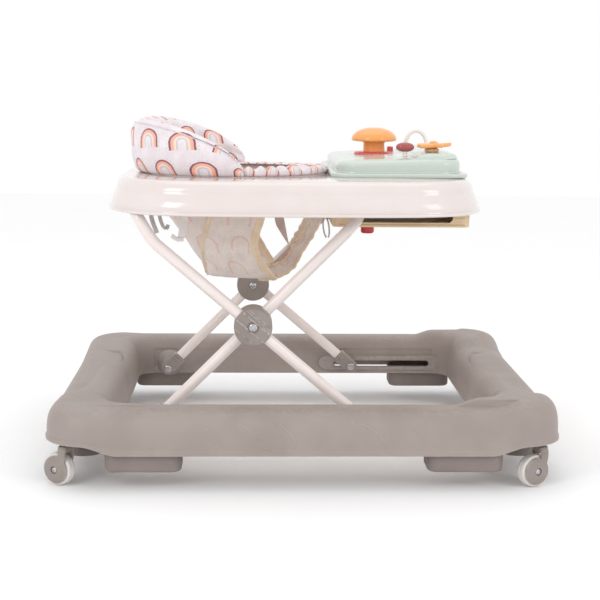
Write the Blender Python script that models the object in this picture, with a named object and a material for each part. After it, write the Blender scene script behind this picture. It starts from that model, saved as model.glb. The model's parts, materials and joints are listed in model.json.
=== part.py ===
# Baby walker: a wheeled base ring, a folding cross-leg frame, and a seat tray with a toy panel.
# Metres, +Z up, +X towards the toy panel.  The origin is on the floor, under the middle.
import math

import bmesh
import bpy
import numpy as np
from mathutils import Matrix, Vector

# ---- driving dimensions -------------------------------------------------------------------
GAP = 0.0003                 # clearance between faces that touch
BASE_LENGTH = 0.700
BASE_WIDTH = 0.600
RAIL_SIDE = 0.072            # width of a side rail
RAIL_CROSS = 0.088           # width of the front and rear rails
RAIL_HEIGHT = 0.0595
RIM_OVER_WHEEL = 0.0035      # underside of the rails above the wheels' tops
CORNER_LIFT = 0.0125         # how far the outer rim steps up at the corners
CORNER_HUMP = 0.010          # how far the front corners rise above the rails
CORNER_OUTER_R = 0.062
CORNER_INNER_R = 0.030
SHELL_WALL = 0.003           # moulded plastic wall
PAD_DROP = 0.025             # how far a stair brake pad hangs below the rim
PAD_PLUG = 0.008             # how far it goes up into the rail
PAD_LENGTH = 0.103
PAD_FROM_END = 0.1335        # a side pad's middle, in from the base's end
CROSS_PAD_R = 0.028
CROSS_PAD_Y = 0.185
WHEEL_R = 0.0225
WHEEL_W = 0.014
CHEEK_T = 0.003              # wall of a caster fork
CASTER_TRAIL = 0.011
CASTER_HEADINGS = {"rear_near": 150, "rear_far": 210, "front_near": 205, "front_far": 30}
STEM_R = 0.005
STEM_LENGTH = 0.0365
AXLE_R = 0.0025
CASTER_INSET_X = 0.029       # stem centre, in from the base's end
CASTER_INSET_Y = 0.030
TUBE_R = 0.008
TUBE_WALL = 0.0012
PIN_R = 0.0035
BOLT_R = 0.003
PIVOT_OVER_RIM = 0.017       # height of both rows of foot pins above the rim
REAR_PIVOT_X = -0.211
LEG_ANGLE = math.radians(45.1)
FOOT_CLEAR = 0.0105          # outer foot cap's face, in from the rail
REAR_HALF = 0.200            # rear foot pin to hub
FRONT_HALF = 0.218           # hub to front foot pin
INNER_REACH = 0.210          # hub to the front cross bar
KNEE_REACH = 0.180           # hub to the bend near the outer frame's top
HUB_R = 0.0265
SLOT_HEIGHT = 0.010
SLOT_BACK = 0.028            # slot's rear end behind the foot pin
FOOT_TRAVEL = 0.135          # slot's front end ahead of the foot pin
TRAY_PIVOT_BACK = 0.166      # rear cross bar behind and above the hub
TRAY_PIVOT_RISE = 0.165
TRAY_LENGTH = 0.535
TRAY_WIDTH = 0.510
TRAY_HEIGHT = 0.046
TRAY_OVERHANG = 0.044        # tray's rear end behind the rear cross bar
TRAY_REAR_R = 0.125
TRAY_FRONT_R = 0.080
SEAT_LENGTH = 0.248
SEAT_WIDTH = 0.310
SEAT_SET_BACK = 0.062        # seat opening, in from the tray's rear end
SEAT_DEPTH = 0.122           # sling's bottom below the tray's lip
SLING_WALL = 0.004
LEG_HOLE_R = 0.055
BACK_HEIGHT = 0.080
BACK_THICK = 0.040
PANEL_LENGTH = 0.178
PANEL_WIDTH = 0.310
PANEL_HEIGHT = 0.0125        # panel body above its flange, at its rear edge
PANEL_RISE = 0.0065          # extra height at the panel's front edge
STEP_REAR = 0.122            # raised front part of the panel: its rear end, and its height
STEP_RISE = 0.0055
FLANGE_T = 0.009
FLANGE_MARGIN = 0.008
CHANNEL_LENGTH = 0.194
CHANNEL_WIDTH = 0.300
CHANNEL_DROP = 0.023         # front channel below the tray's lip
BAR_TRAVEL = 0.122           # how far the front bar slides as the walker folds
KNOB_AT = (0.0663, 0.020)    # each toy's place: ahead of the panel's rear edge, and across
KNOB_R = 0.0340
KNOB_STEM_R = 0.0162
KNOB_STEM_TALL = 0.0155
KNOB_SEAT_R = 0.030
KNOB_SEAT_T = 0.0025
PRESS_AT = (0.0948, 0.060)
PRESS_HALF = (0.0045, 0.0055)
PRESS_RISE = 0.009           # press button above the panel
PRESS_SINK = 0.006           # and down into it
LEVER_AT = (0.099, -0.113)
LEVER_LIFT = 0.0012          # room for the lever's foot to tilt
FLOWER_AT = (0.139, -0.100)
PETAL_R = 0.0215             # flower's middle radius, and how far its petals wave
PETAL_WAVE = 0.0045
ARCH_AT = (0.134, 0.050)
ARCH_HALF = 0.0160
ARCH_RISE = 0.0220
ARCH_R = 0.0030

# ---- derived places -----------------------------------------------------------------------
HALF_L = BASE_LENGTH / 2
HALF_W = BASE_WIDTH / 2
STEM_X = HALF_L - CASTER_INSET_X
STEM_Y = HALF_W - CASTER_INSET_Y
RAIL_INNER_Y = HALF_W - RAIL_SIDE
RAIL_RIM_Z = 2 * WHEEL_R + RIM_OVER_WHEEL
RAIL_TOP_Z = RAIL_RIM_Z + RAIL_HEIGHT
PIVOT_Z = RAIL_RIM_Z + PIVOT_OVER_RIM
CAP_HALF = TUBE_R + 0.0015
HUB_T = 2 * TUBE_R + 0.004
OUTER_LEG_Y = RAIL_INNER_Y - FOOT_CLEAR - CAP_HALF
INNER_LEG_Y = OUTER_LEG_Y - HUB_T - 0.001
HUB_X = REAR_PIVOT_X + REAR_HALF * math.cos(LEG_ANGLE)
HUB_Z = PIVOT_Z + REAR_HALF * math.sin(LEG_ANGLE)
FRONT_ANGLE = math.asin((HUB_Z - PIVOT_Z) / FRONT_HALF)
FOOT_X = HUB_X + FRONT_HALF * math.cos(FRONT_ANGLE)
BAR_X = HUB_X + INNER_REACH * math.cos(LEG_ANGLE)
BAR_Z = HUB_Z + INNER_REACH * math.sin(LEG_ANGLE)
KNEE_X = HUB_X - KNEE_REACH * math.cos(FRONT_ANGLE)
KNEE_Z = HUB_Z + KNEE_REACH * math.sin(FRONT_ANGLE)
TRAY_PIVOT_X = HUB_X - TRAY_PIVOT_BACK
TRAY_PIVOT_Z = HUB_Z + TRAY_PIVOT_RISE
TRAY_PIVOT = (TRAY_PIVOT_X, 0, TRAY_PIVOT_Z)
TRAY_LIP_Z = TRAY_PIVOT_Z - TUBE_R - 0.002
TRAY_TOP_Z = TRAY_LIP_Z + TRAY_HEIGHT
TRAY_REAR_X = TRAY_PIVOT_X - TRAY_OVERHANG
TRAY_FRONT_X = TRAY_REAR_X + TRAY_LENGTH
TRAY_UNDER_Z = TRAY_TOP_Z - SHELL_WALL
SEAT_REAR_X = TRAY_REAR_X + SEAT_SET_BACK
SEAT_FRONT_X = SEAT_REAR_X + SEAT_LENGTH
SEAT_BOTTOM_Z = TRAY_LIP_Z - SEAT_DEPTH
PANEL_REAR_X = SEAT_FRONT_X + FLANGE_MARGIN + 0.008
PANEL_FRONT_X = PANEL_REAR_X + PANEL_LENGTH
CHANNEL_REAR_X = BAR_X - 0.0365
CHANNEL_FRONT_X = CHANNEL_REAR_X + CHANNEL_LENGTH
CHANNEL_BOTTOM_Z = TRAY_LIP_Z - CHANNEL_DROP
FLANGE_TOP_Z = TRAY_TOP_Z + GAP + FLANGE_T

TAUPE = ("taupe_plastic", (0.36, 0.31, 0.29), 0.55, 0.0)
DARK_TAUPE = ("pad_rubber", (0.30, 0.26, 0.25), 0.80, 0.0)
TYRE = ("wheel_tread", (0.78, 0.75, 0.72), 0.60, 0.0)
CREAM = ("cream_plastic", (0.86, 0.77, 0.73), 0.18, 0.0)
ENAMEL = ("frame_enamel", (0.82, 0.74, 0.71), 0.30, 0.0)
STEEL = ("bright_steel", (0.75, 0.75, 0.76), 0.22, 1.0)
IVORY = ("ivory_plastic", (0.83, 0.77, 0.64), 0.40, 0.0)
MINT = ("mint_plastic", (0.62, 0.72, 0.62), 0.25, 0.0)
ORANGE = ("orange_plastic", (0.91, 0.44, 0.12), 0.35, 0.0)
BRICK = ("brick_plastic", (0.40, 0.09, 0.08), 0.35, 0.0)
RED = ("red_plastic", (0.50, 0.01, 0.01), 0.30, 0.0)
WHITE = ("white_plastic", (0.85, 0.83, 0.80), 0.30, 0.0)
TAN = ("tan_plastic", (0.75, 0.45, 0.24), 0.40, 0.0)
PRINT = ("printed_fabric", (0.77, 0.70, 0.70), 0.90, 0.0)
MESH_CLOTH = ("sling_fabric", (0.74, 0.70, 0.68), 0.90, 0.0)


# ---- shared helpers -----------------------------------------------------------------------
def material(finish):
    name, colour, roughness, metallic = finish
    found = bpy.data.materials.get(name)
    if found:
        return found
    made = bpy.data.materials.new(name)
    made.use_nodes = True
    shader = made.node_tree.nodes["Principled BSDF"]
    shader.inputs["Base Color"].default_value = (*colour, 1.0)
    shader.inputs["Roughness"].default_value = roughness
    shader.inputs["Metallic"].default_value = metallic
    return made


def add(name, mesh, finish, pivot=(0, 0, 0), smooth=40):
    """Put a world-space mesh into the scene, with its origin moved to its pivot."""
    mesh.transform(Matrix.Translation(-Vector(pivot)))
    mesh.shade_smooth()
    mesh.set_sharp_from_angle(angle=math.radians(smooth))
    piece = bpy.data.objects.new(name, mesh)
    piece.location = pivot
    mesh.materials.append(material(finish))
    bpy.context.collection.objects.link(piece)
    return piece


def from_bmesh(shape):
    bmesh.ops.recalc_face_normals(shape, faces=shape.faces)
    mesh = bpy.data.meshes.new("shape")
    shape.to_mesh(mesh)
    shape.free()
    return mesh


def cylinder(centre, radius, length, axis="Z", sides=20):
    """A closed cylinder; its axis is a letter or a direction."""
    shape = bmesh.new()
    bmesh.ops.create_cone(shape, cap_ends=True, segments=sides, radius1=radius, radius2=radius,
                          depth=length)
    letters = {"X": (1, 0, 0), "Y": (0, 1, 0), "Z": (0, 0, 1)}
    direction = Vector(letters[axis]) if isinstance(axis, str) else axis
    turn = Vector((0, 0, 1)).rotation_difference(direction).to_matrix().to_4x4()
    bmesh.ops.transform(shape, matrix=Matrix.Translation(centre) @ turn, verts=shape.verts)
    return from_bmesh(shape)


def ball(centre, radii, columns=20, rows=10):
    shape = bmesh.new()
    bmesh.ops.create_uvsphere(shape, u_segments=columns, v_segments=rows, radius=1.0)
    place = Matrix.Translation(centre) @ Matrix.Diagonal((*radii, 1))
    bmesh.ops.transform(shape, matrix=place, verts=shape.verts)
    return from_bmesh(shape)


def turned(centre, profile, sides=28):
    """Spin a profile of (radius, height) points, the first and last on the axis, about Z."""
    shape = bmesh.new()
    points = [shape.verts.new((r, 0, z)) for r, z in profile]
    edges = [shape.edges.new(pair) for pair in zip(points, points[1:])]
    bmesh.ops.spin(shape, geom=points + edges, cent=(0, 0, 0), axis=(0, 0, 1), angle=math.tau, steps=sides)
    bmesh.ops.remove_doubles(shape, verts=shape.verts, dist=1e-6)
    bmesh.ops.translate(shape, vec=centre, verts=shape.verts)
    return from_bmesh(shape)


def prism(outline, low, high, plane="XY", bevel=0.0, segments=1):
    """Extrude an outline from low to high along the plane's normal, with its rims rounded."""
    place = {"XY": lambda a, b, h: (a, b, h), "XZ": lambda a, b, h: (a, h, b)}[plane]
    shape = bmesh.new()
    face = shape.faces.new([shape.verts.new(place(a, b, low)) for a, b in outline])
    grown = bmesh.ops.extrude_face_region(shape, geom=[face])
    moved = [v for v in grown["geom"] if isinstance(v, bmesh.types.BMVert)]
    bmesh.ops.translate(shape, vec=place(0, 0, high - low), verts=moved)
    if bevel:
        rims = [e for e in shape.edges if any(len(f.verts) > 4 or f.calc_area() > 1 for f in e.link_faces)]
        bmesh.ops.bevel(shape, geom=rims, offset=bevel, segments=segments, profile=0.5, affect="EDGES")
    return from_bmesh(shape)


def box(low, high):
    shape = bmesh.new()
    bmesh.ops.create_cube(shape, size=1.0)
    centre = (Vector(low) + Vector(high)) / 2
    size = Vector(high) - Vector(low)
    place = Matrix.Translation(centre) @ Matrix.Diagonal((*size, 1))
    bmesh.ops.transform(shape, matrix=place, verts=shape.verts)
    return from_bmesh(shape)


def combine(piece, mesh, operation="DIFFERENCE"):
    """Cut a mesh out of a piece or join it on, through a hidden helper object."""
    tool = bpy.data.objects.new(piece.name + "_tool", mesh)
    tool.location = (0, 0, 0)
    tool.hide_render = True
    tool.display_type = "WIRE"
    bpy.context.collection.objects.link(tool)
    step = piece.modifiers.new(operation.lower(), "BOOLEAN")
    step.operation = operation
    step.solver = "EXACT"
    step.object = tool


def arc(centre, radius, start, end, steps):
    """Points on an arc, both ends in, with its angles in degrees."""
    turns = np.radians(np.linspace(start, end, steps + 1))
    return [(centre[0] + radius * math.cos(t), centre[1] + radius * math.sin(t)) for t in turns]


def rounded_box(x0, x1, y0, y1, radius, steps=4):
    corners = [((x1 - radius, y1 - radius), 0), ((x0 + radius, y1 - radius), 90),
               ((x0 + radius, y0 + radius), 180), ((x1 - radius, y0 + radius), 270)]
    return [p for centre, start in corners for p in arc(centre, radius, start, start + 90, steps)]


def loop_outline(x0, x1, half_y, rear_r, front_r, straight=8, bend=8):
    """A closed rounded outline about Z, as points and outward normals, with equal steps for any size."""
    points, normals = [], []
    front_x = x1 - front_r
    rear_x = x0 + rear_r
    corners = [((front_x, half_y - front_r), front_r, 0), ((rear_x, half_y - rear_r), rear_r, 90),
               ((rear_x, rear_r - half_y), rear_r, 180), ((front_x, front_r - half_y), front_r, 270)]
    for index, (centre, radius, start) in enumerate(corners):
        turns = np.radians(np.linspace(start, start + 90, bend + 1))
        heading = np.stack([np.cos(turns), np.sin(turns)], axis=1)
        points.append(np.array(centre) + radius * heading)
        normals.append(heading)
        following = corners[(index + 1) % 4]
        begin = points[-1][-1]
        end = np.array(following[0]) + following[1] * heading[-1]
        share = np.linspace(0, 1, straight + 1)[1:-1, None]
        points.append(begin + (end - begin) * share)
        normals.append(np.repeat(heading[-1:], straight - 1, axis=0))
    return np.concatenate(points), np.concatenate(normals)


def ring_mesh(sections, closed=True):
    """Skin a row of equal point loops, from one to the next, and cap the ends of an open row."""
    shape = bmesh.new()
    rows = [[shape.verts.new(p) for p in loop] for loop in sections]
    count = len(rows[0])
    pairs = list(zip(rows, rows[1:])) + ([(rows[-1], rows[0])] if closed else [])
    for one, two in pairs:
        for k in range(count):
            shape.faces.new((one[k], one[(k + 1) % count], two[(k + 1) % count], two[k]))
    if not closed:
        shape.faces.new(rows[0])
        shape.faces.new(rows[-1])
    return from_bmesh(shape)


def rounded_path(corners, radii, steps=4):
    """A path through corner points, with each inner corner turned on an arc of its radius."""
    corners = [Vector(c) for c in corners]
    path = [corners[0]]
    for before, here, after, radius in zip(corners, corners[1:], corners[2:], radii):
        back = (before - here).normalized()
        ahead = (after - here).normalized()
        half = back.angle(ahead) / 2
        reach = radius / math.tan(half)
        centre = here + (back + ahead).normalized() * radius / math.sin(half)
        first = here + back * reach - centre
        last = here + ahead * reach - centre
        for k in range(steps + 1):
            path.append(centre + first.slerp(last, k / steps).normalized() * radius)
    path.append(corners[-1])
    return path


def tube_mesh(path, radius, wall=None, sides=12):
    """Carry a circle along a path; with a wall it is a pipe, open at both ends."""
    loops = {"outer": [], "inner": []}
    side = (path[1] - path[0]).orthogonal()
    for k, point in enumerate(path):
        heading = (path[min(k + 1, len(path) - 1)] - path[max(k - 1, 0)]).normalized()
        side = (side - heading * side.dot(heading)).normalized()
        other = heading.cross(side)
        turns = [math.tau * j / sides for j in range(sides)]
        spokes = [side * math.cos(t) + other * math.sin(t) for t in turns]
        loops["outer"].append([point + s * radius for s in spokes])
        if wall:
            loops["inner"].append([point + s * (radius - wall) for s in spokes])
    if not wall:
        return ring_mesh(loops["outer"], closed=False)
    shape = bmesh.new()
    rows = {key: [[shape.verts.new(p) for p in loop] for loop in loops[key]] for key in loops}
    for row in rows.values():
        for one, two in zip(row, row[1:]):
            for k in range(sides):
                shape.faces.new((one[k], one[k - 1], two[k - 1], two[k]))
    for end in (0, -1):
        outer = rows["outer"][end]
        inner = rows["inner"][end]
        for k in range(sides):
            shape.faces.new((outer[k], outer[k - 1], inner[k - 1], inner[k]))
    return from_bmesh(shape)


def smooth_step(value):
    value = np.clip(value, 0.0, 1.0)
    return value * value * (3 - 2 * value)


# ---- base ---------------------------------------------------------------------------------
def base_ring():
    """An arch-shaped channel, open below, carried round a rounded rectangle."""
    outer, out_n = loop_outline(-HALF_L, HALF_L, HALF_W, CORNER_OUTER_R, CORNER_OUTER_R, 8, 4)
    inner, in_n = loop_outline(RAIL_CROSS - HALF_L, HALF_L - RAIL_CROSS, RAIL_INNER_Y,
                               CORNER_INNER_R, CORNER_INNER_R, 8, 4)
    half = RAIL_SIDE / 2
    skin = []
    for squareness, steps, thickness, way in ((3.4, 8, 0.0, 1), (3.4, 6, SHELL_WALL, -1)):
        for k in range(steps + 1)[::way]:
            turn = math.pi * k / steps
            across = math.copysign(abs(math.cos(turn)) ** (2 / squareness), math.cos(turn))
            height = abs(math.sin(turn)) ** (2 / squareness)
            skin.append((across * (half - thickness), height, thickness))
    sections = []
    for k in range(len(outer)):
        near_end = smooth_step((abs(outer[k][0]) - (HALF_L - 0.10)) / 0.05)
        near_side = smooth_step((abs(outer[k][1]) - (HALF_W - 0.12)) / 0.05)
        corner = near_end * near_side
        top = RAIL_TOP_Z + CORNER_HUMP * corner * (1.0 if outer[k][0] > 0 else 0.15)
        loop = []
        for across, height, thickness in skin:
            rim = RAIL_RIM_Z + (CORNER_LIFT * corner if across > 0 else 0.0)
            z = rim + height * (top - thickness - rim)
            if across > 0:
                place = outer[k] - out_n[k] * (half - across)
            else:
                place = inner[k] + in_n[k] * (half + across)
            loop.append((*place, z))
        sections.append(loop)
    ring = add("base_ring", ring_mesh(sections), TAUPE)
    slot_z = (PIVOT_Z - SLOT_HEIGHT / 2, PIVOT_Z + SLOT_HEIGHT / 2)
    slot = rounded_box(FOOT_X - SLOT_BACK, FOOT_X + FOOT_TRAVEL, *slot_z, SLOT_HEIGHT / 2 - 0.0001)
    for side in (-1, 1):
        wall_y = side * RAIL_INNER_Y
        combine(ring, prism(slot, wall_y - 0.008, wall_y + 0.012, "XZ"))
        boss_tip = side * (INNER_LEG_Y + CAP_HALF + 0.002)
        boss_root = wall_y + side * SHELL_WALL / 2
        boss_mid = (REAR_PIVOT_X, (boss_tip + boss_root) / 2, PIVOT_Z)
        combine(ring, cylinder(boss_mid, 0.0115, abs(boss_root - boss_tip), "Y"), "UNION")
        combine(ring, cylinder((REAR_PIVOT_X, wall_y, PIVOT_Z), PIN_R + GAP, 0.09, "Y"))
        for end in (-1, 1):
            socket_mid = (end * STEM_X, side * STEM_Y)
            combine(ring, cylinder((*socket_mid, RAIL_RIM_Z + 0.033), STEM_R + 0.005, 0.040), "UNION")
            combine(ring, cylinder((*socket_mid, RAIL_RIM_Z + 0.0255), STEM_R + GAP, 0.040))


def brake_pads():
    """Stair brake pads: blocks plugged into the open underside of the rails."""
    plug_half = RAIL_SIDE / 2 - SHELL_WALL - 0.004
    top = RAIL_RIM_Z + PAD_PLUG
    bottom = RAIL_RIM_Z - PAD_DROP
    side_mid = HALF_L - PAD_FROM_END
    for end, end_word in ((-1, "rear"), (1, "front")):
        for side, side_word in ((-1, "near"), (1, "far")):
            x, y = end * side_mid, side * (HALF_W - RAIL_SIDE / 2)
            outline = rounded_box(x - PAD_LENGTH / 2, x + PAD_LENGTH / 2,
                                  y - plug_half, y + plug_half, 0.014, 3)
            add(f"brake_pad_{end_word}_{side_word}", prism(outline, bottom, top, bevel=0.003), DARK_TAUPE)
        x = end * (HALF_L - RAIL_CROSS / 2)
        for side, side_word in ((-1, "near"), (1, "far")):
            y = side * CROSS_PAD_Y
            outline = rounded_box(x - CROSS_PAD_R, x + CROSS_PAD_R, y - CROSS_PAD_R, y + CROSS_PAD_R,
                                  CROSS_PAD_R * 0.95, 4)
            add(f"cross_pad_{end_word}_{side_word}", prism(outline, bottom, top, bevel=0.003), DARK_TAUPE)


def casters():
    """Four swivel casters: stem and fork, tyre and axle screw, each turned its own way."""
    for end, end_word in ((-1, "rear"), (1, "front")):
        for side, side_word in ((-1, "near"), (1, "far")):
            name = f"{end_word}_{side_word}"
            angle = math.radians(CASTER_HEADINGS[name])
            trail = Vector((math.cos(angle), math.sin(angle), 0))
            across = Vector((-trail.y, trail.x, 0))
            stem = Vector((end * STEM_X, side * STEM_Y, 0))
            hub = stem + trail * CASTER_TRAIL + Vector((0, 0, WHEEL_R))
            cheek_y = WHEEL_W / 2 + 0.0008 + CHEEK_T / 2
            crown_z = 2 * WHEEL_R + 0.0015
            crown_top = RAIL_RIM_Z + 0.0080
            frame = Matrix.Translation((stem.x, stem.y, 0)) @ Matrix((
                (trail.x, across.x, 0, 0), (trail.y, across.y, 0, 0), (0, 0, 1, 0), (0, 0, 0, 1)))
            outline = rounded_box(-0.0065, 0.0065, crown_z, crown_top, 0.002, 2)
            crown = prism(outline, -cheek_y - CHEEK_T / 2, cheek_y + CHEEK_T / 2, "XZ")
            crown.transform(frame)
            fork = add(f"caster_fork_{name}", crown, TAUPE, stem + Vector((0, 0, crown_top)))
            for way in (-1, 1):
                disc_r = WHEEL_R * 0.84
                cheek_line = [(0.0065, crown_z + 0.003), (-0.0065, crown_z + 0.003)]
                cheek_line += arc((CASTER_TRAIL, WHEEL_R), disc_r, 200, 445, 9)
                cheek = prism(cheek_line, way * cheek_y - CHEEK_T / 2, way * cheek_y + CHEEK_T / 2, "XZ")
                cheek.transform(frame)
                combine(fork, cheek, "UNION")
            shank_mid = (stem.x, stem.y, crown_top + STEM_LENGTH / 2 - 0.001)
            combine(fork, cylinder(shank_mid, STEM_R, STEM_LENGTH), "UNION")
            combine(fork, cylinder(hub, AXLE_R + GAP, 0.05, across, 12))
            tyre = cylinder(hub, WHEEL_R, WHEEL_W, across, 32)
            wheel = add(f"caster_wheel_{name}", tyre, TYRE, hub)
            rounding = wheel.modifiers.new("round", "BEVEL")
            rounding.width = 0.0025
            rounding.segments = 1
            rounding.limit_method = "ANGLE"
            combine(wheel, cylinder(hub, AXLE_R + GAP, 0.05, across, 12))
            reach = 2 * cheek_y + CHEEK_T
            shank = cylinder(hub, AXLE_R, reach + 0.002, across, 12)
            screw = add(f"caster_screw_{name}", shank, STEEL, hub)
            for way in (-1, 1):
                head = hub + across * way * (reach / 2 + GAP + 0.0010)
                combine(screw, cylinder(head, 0.0042, 0.0020, across, 12), "UNION")


# ---- legs ---------------------------------------------------------------------------------
def leg_frames():
    """Two bent tube frames that cross at the hubs."""
    rise = Vector((math.cos(LEG_ANGLE), 0, math.sin(LEG_ANGLE)))
    fall = Vector((math.cos(FRONT_ANGLE), 0, -math.sin(FRONT_ANGLE)))
    inner_path = []
    outer_path = []
    for side in (-1, 1):
        foot = Vector((REAR_PIVOT_X, side * INNER_LEG_Y, PIVOT_Z)) + rise * 0.012
        bar = Vector((BAR_X, side * INNER_LEG_Y, BAR_Z))
        inner_path.append([foot, bar])
        foot = Vector((FOOT_X, side * OUTER_LEG_Y, PIVOT_Z)) - fall * 0.012
        knee = Vector((KNEE_X, side * OUTER_LEG_Y, KNEE_Z))
        top = Vector((TRAY_PIVOT_X, side * OUTER_LEG_Y, TRAY_PIVOT_Z))
        outer_path.append([foot, knee, top])
    inner = rounded_path(inner_path[0] + inner_path[1][::-1], [0.035, 0.035])
    outer = rounded_path(outer_path[0] + outer_path[1][::-1], [0.060, 0.030, 0.030, 0.060], 3)
    rear_pivot = (REAR_PIVOT_X, 0, PIVOT_Z)
    hub = (HUB_X, 0, HUB_Z)
    frames = {"inner": add("inner_leg_frame", tube_mesh(inner, TUBE_R, TUBE_WALL), ENAMEL, rear_pivot),
              "outer": add("outer_leg_frame", tube_mesh(outer, TUBE_R, TUBE_WALL), ENAMEL, hub)}
    for side, side_word in ((-1, "near"), (1, "far")):
        for which, leg_y, heading, pivot in (("inner", INNER_LEG_Y, rise, rear_pivot),
                                             ("outer", OUTER_LEG_Y, fall, hub)):
            centre = Vector((HUB_X, side * leg_y, HUB_Z))
            puck = add(f"hub_{which}_{side_word}", cylinder(centre, HUB_R, HUB_T, "Y", 28), TAUPE, pivot)
            combine(puck, cylinder(centre, TUBE_R + GAP, 0.08, heading, 14))
            combine(puck, cylinder(centre, BOLT_R + GAP, 0.06, "Y", 12))
            combine(frames[which], cylinder(centre, BOLT_R + GAP, 0.03, "Y", 12))
        outer_face = OUTER_LEG_Y + HUB_T / 2 + GAP
        inner_face = INNER_LEG_Y - HUB_T / 2 - GAP
        shank_mid = Vector((HUB_X, side * (outer_face + inner_face) / 2, HUB_Z))
        bolt = add(f"hub_bolt_{side_word}", cylinder(shank_mid, BOLT_R, outer_face - inner_face, "Y", 12),
                   STEEL, hub)
        for face, way in ((outer_face, 1), (inner_face, -1)):
            head = Vector((HUB_X, side * (face + way * 0.0015), HUB_Z))
            combine(bolt, cylinder(head, 0.0060, 0.0030 + 0.0001, "Y", 12), "UNION")


def foot_cap(name, pin_at, heading, pivot):
    """A plastic cap on a tube's end, bored for the tube and for its pin."""
    ahead = Vector((heading.x, heading.z)).normalized()
    side = Vector((-ahead.y, ahead.x))
    half = TUBE_R + 0.0025
    centre = Vector((pin_at.x, pin_at.z))
    start = math.degrees(math.atan2(side.y, side.x))
    outline = arc(centre, half, start, start + 180, 8)
    outline += [tuple(centre + ahead * 0.030 - side * half), tuple(centre + ahead * 0.030 + side * half)]
    cap = add(name, prism(outline, pin_at.y - CAP_HALF, pin_at.y + CAP_HALF, "XZ", 0.0015), TAUPE, pivot)
    socket_mid = pin_at + heading * (0.0117 + 0.02)
    combine(cap, cylinder(socket_mid, TUBE_R + GAP, 0.04, heading, 14))
    combine(cap, cylinder(pin_at, PIN_R + GAP, 0.05, "Y", 12))


def feet():
    rise = Vector((math.cos(LEG_ANGLE), 0, math.sin(LEG_ANGLE)))
    back = Vector((-math.cos(FRONT_ANGLE), 0, math.sin(FRONT_ANGLE)))
    for side, side_word in ((-1, "near"), (1, "far")):
        for which, x, leg_y, heading, pivot in (
                ("rear", REAR_PIVOT_X, INNER_LEG_Y, rise, (REAR_PIVOT_X, 0, PIVOT_Z)),
                ("front", FOOT_X, OUTER_LEG_Y, back, (HUB_X, 0, HUB_Z))):
            pin_at = Vector((x, side * leg_y, PIVOT_Z))
            foot_cap(f"foot_cap_{which}_{side_word}", pin_at, heading, pivot)
            inner_end = leg_y - CAP_HALF - GAP
            outer_end = RAIL_INNER_Y + 0.0075
            mid = Vector((x, side * (inner_end + outer_end) / 2, PIVOT_Z))
            pin = add(f"foot_pin_{which}_{side_word}", cylinder(mid, PIN_R, outer_end - inner_end, "Y", 12),
                      STEEL, pivot)
            for place, way, radius in ((inner_end, -1, 0.0060), (outer_end, 1, 0.0072)):
                head = Vector((x, side * (place + way * 0.0010), PIVOT_Z))
                combine(pin, cylinder(head, radius, 0.0024, "Y", 12), "UNION")


# ---- tray ---------------------------------------------------------------------------------
def tray_shell():
    """A thin upturned pan round the seat opening, with a flared lip and a turned-down inner edge."""
    outer, out_n = loop_outline(TRAY_REAR_X, TRAY_FRONT_X, TRAY_WIDTH / 2, TRAY_REAR_R, TRAY_FRONT_R, 3, 8)
    inner, in_n = loop_outline(SEAT_REAR_X, SEAT_FRONT_X, SEAT_WIDTH / 2, 0.110, 0.110, 3, 8)
    height = TRAY_TOP_Z - TRAY_LIP_Z
    round_r = 0.016
    skin = [(0.0, 0.0), (0.0, 0.003), (0.0035, 0.0055)]
    lean = 0.010
    skin += [(lean + round_r * (1 - math.cos(t)), height - round_r * (1 - math.sin(t)))
             for t in np.radians(np.linspace(0, 90, 4))]
    edge_r = 0.008
    edge = [(edge_r * (1 - math.cos(t)), height - edge_r * (1 - math.sin(t)))
            for t in np.radians((90, 45, 0))]
    edge.append((0.0, 0.020))
    wall = SHELL_WALL
    loop = [("o", a, z) for a, z in skin] + [("i", a, z) for a, z in edge]
    loop += [("i", wall, 0.020), ("i", wall + 0.006, height - wall)]
    loop += [("o", lean + round_r, height - wall), ("o", lean + wall + 0.004, height - wall - 0.006)]
    loop += [("o", lean + wall, height - round_r), ("o", 0.0035 + wall, 0.0045), ("o", wall, 0.0)]
    sections = []
    for k in range(len(outer)):
        section = []
        for which, offset, z in loop:
            place = outer[k] - out_n[k] * offset if which == "o" else inner[k] + in_n[k] * offset
            section.append((*place, TRAY_LIP_Z + z))
        sections.append(section)
    add("tray_shell", ring_mesh(sections), CREAM, TRAY_PIVOT)


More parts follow.
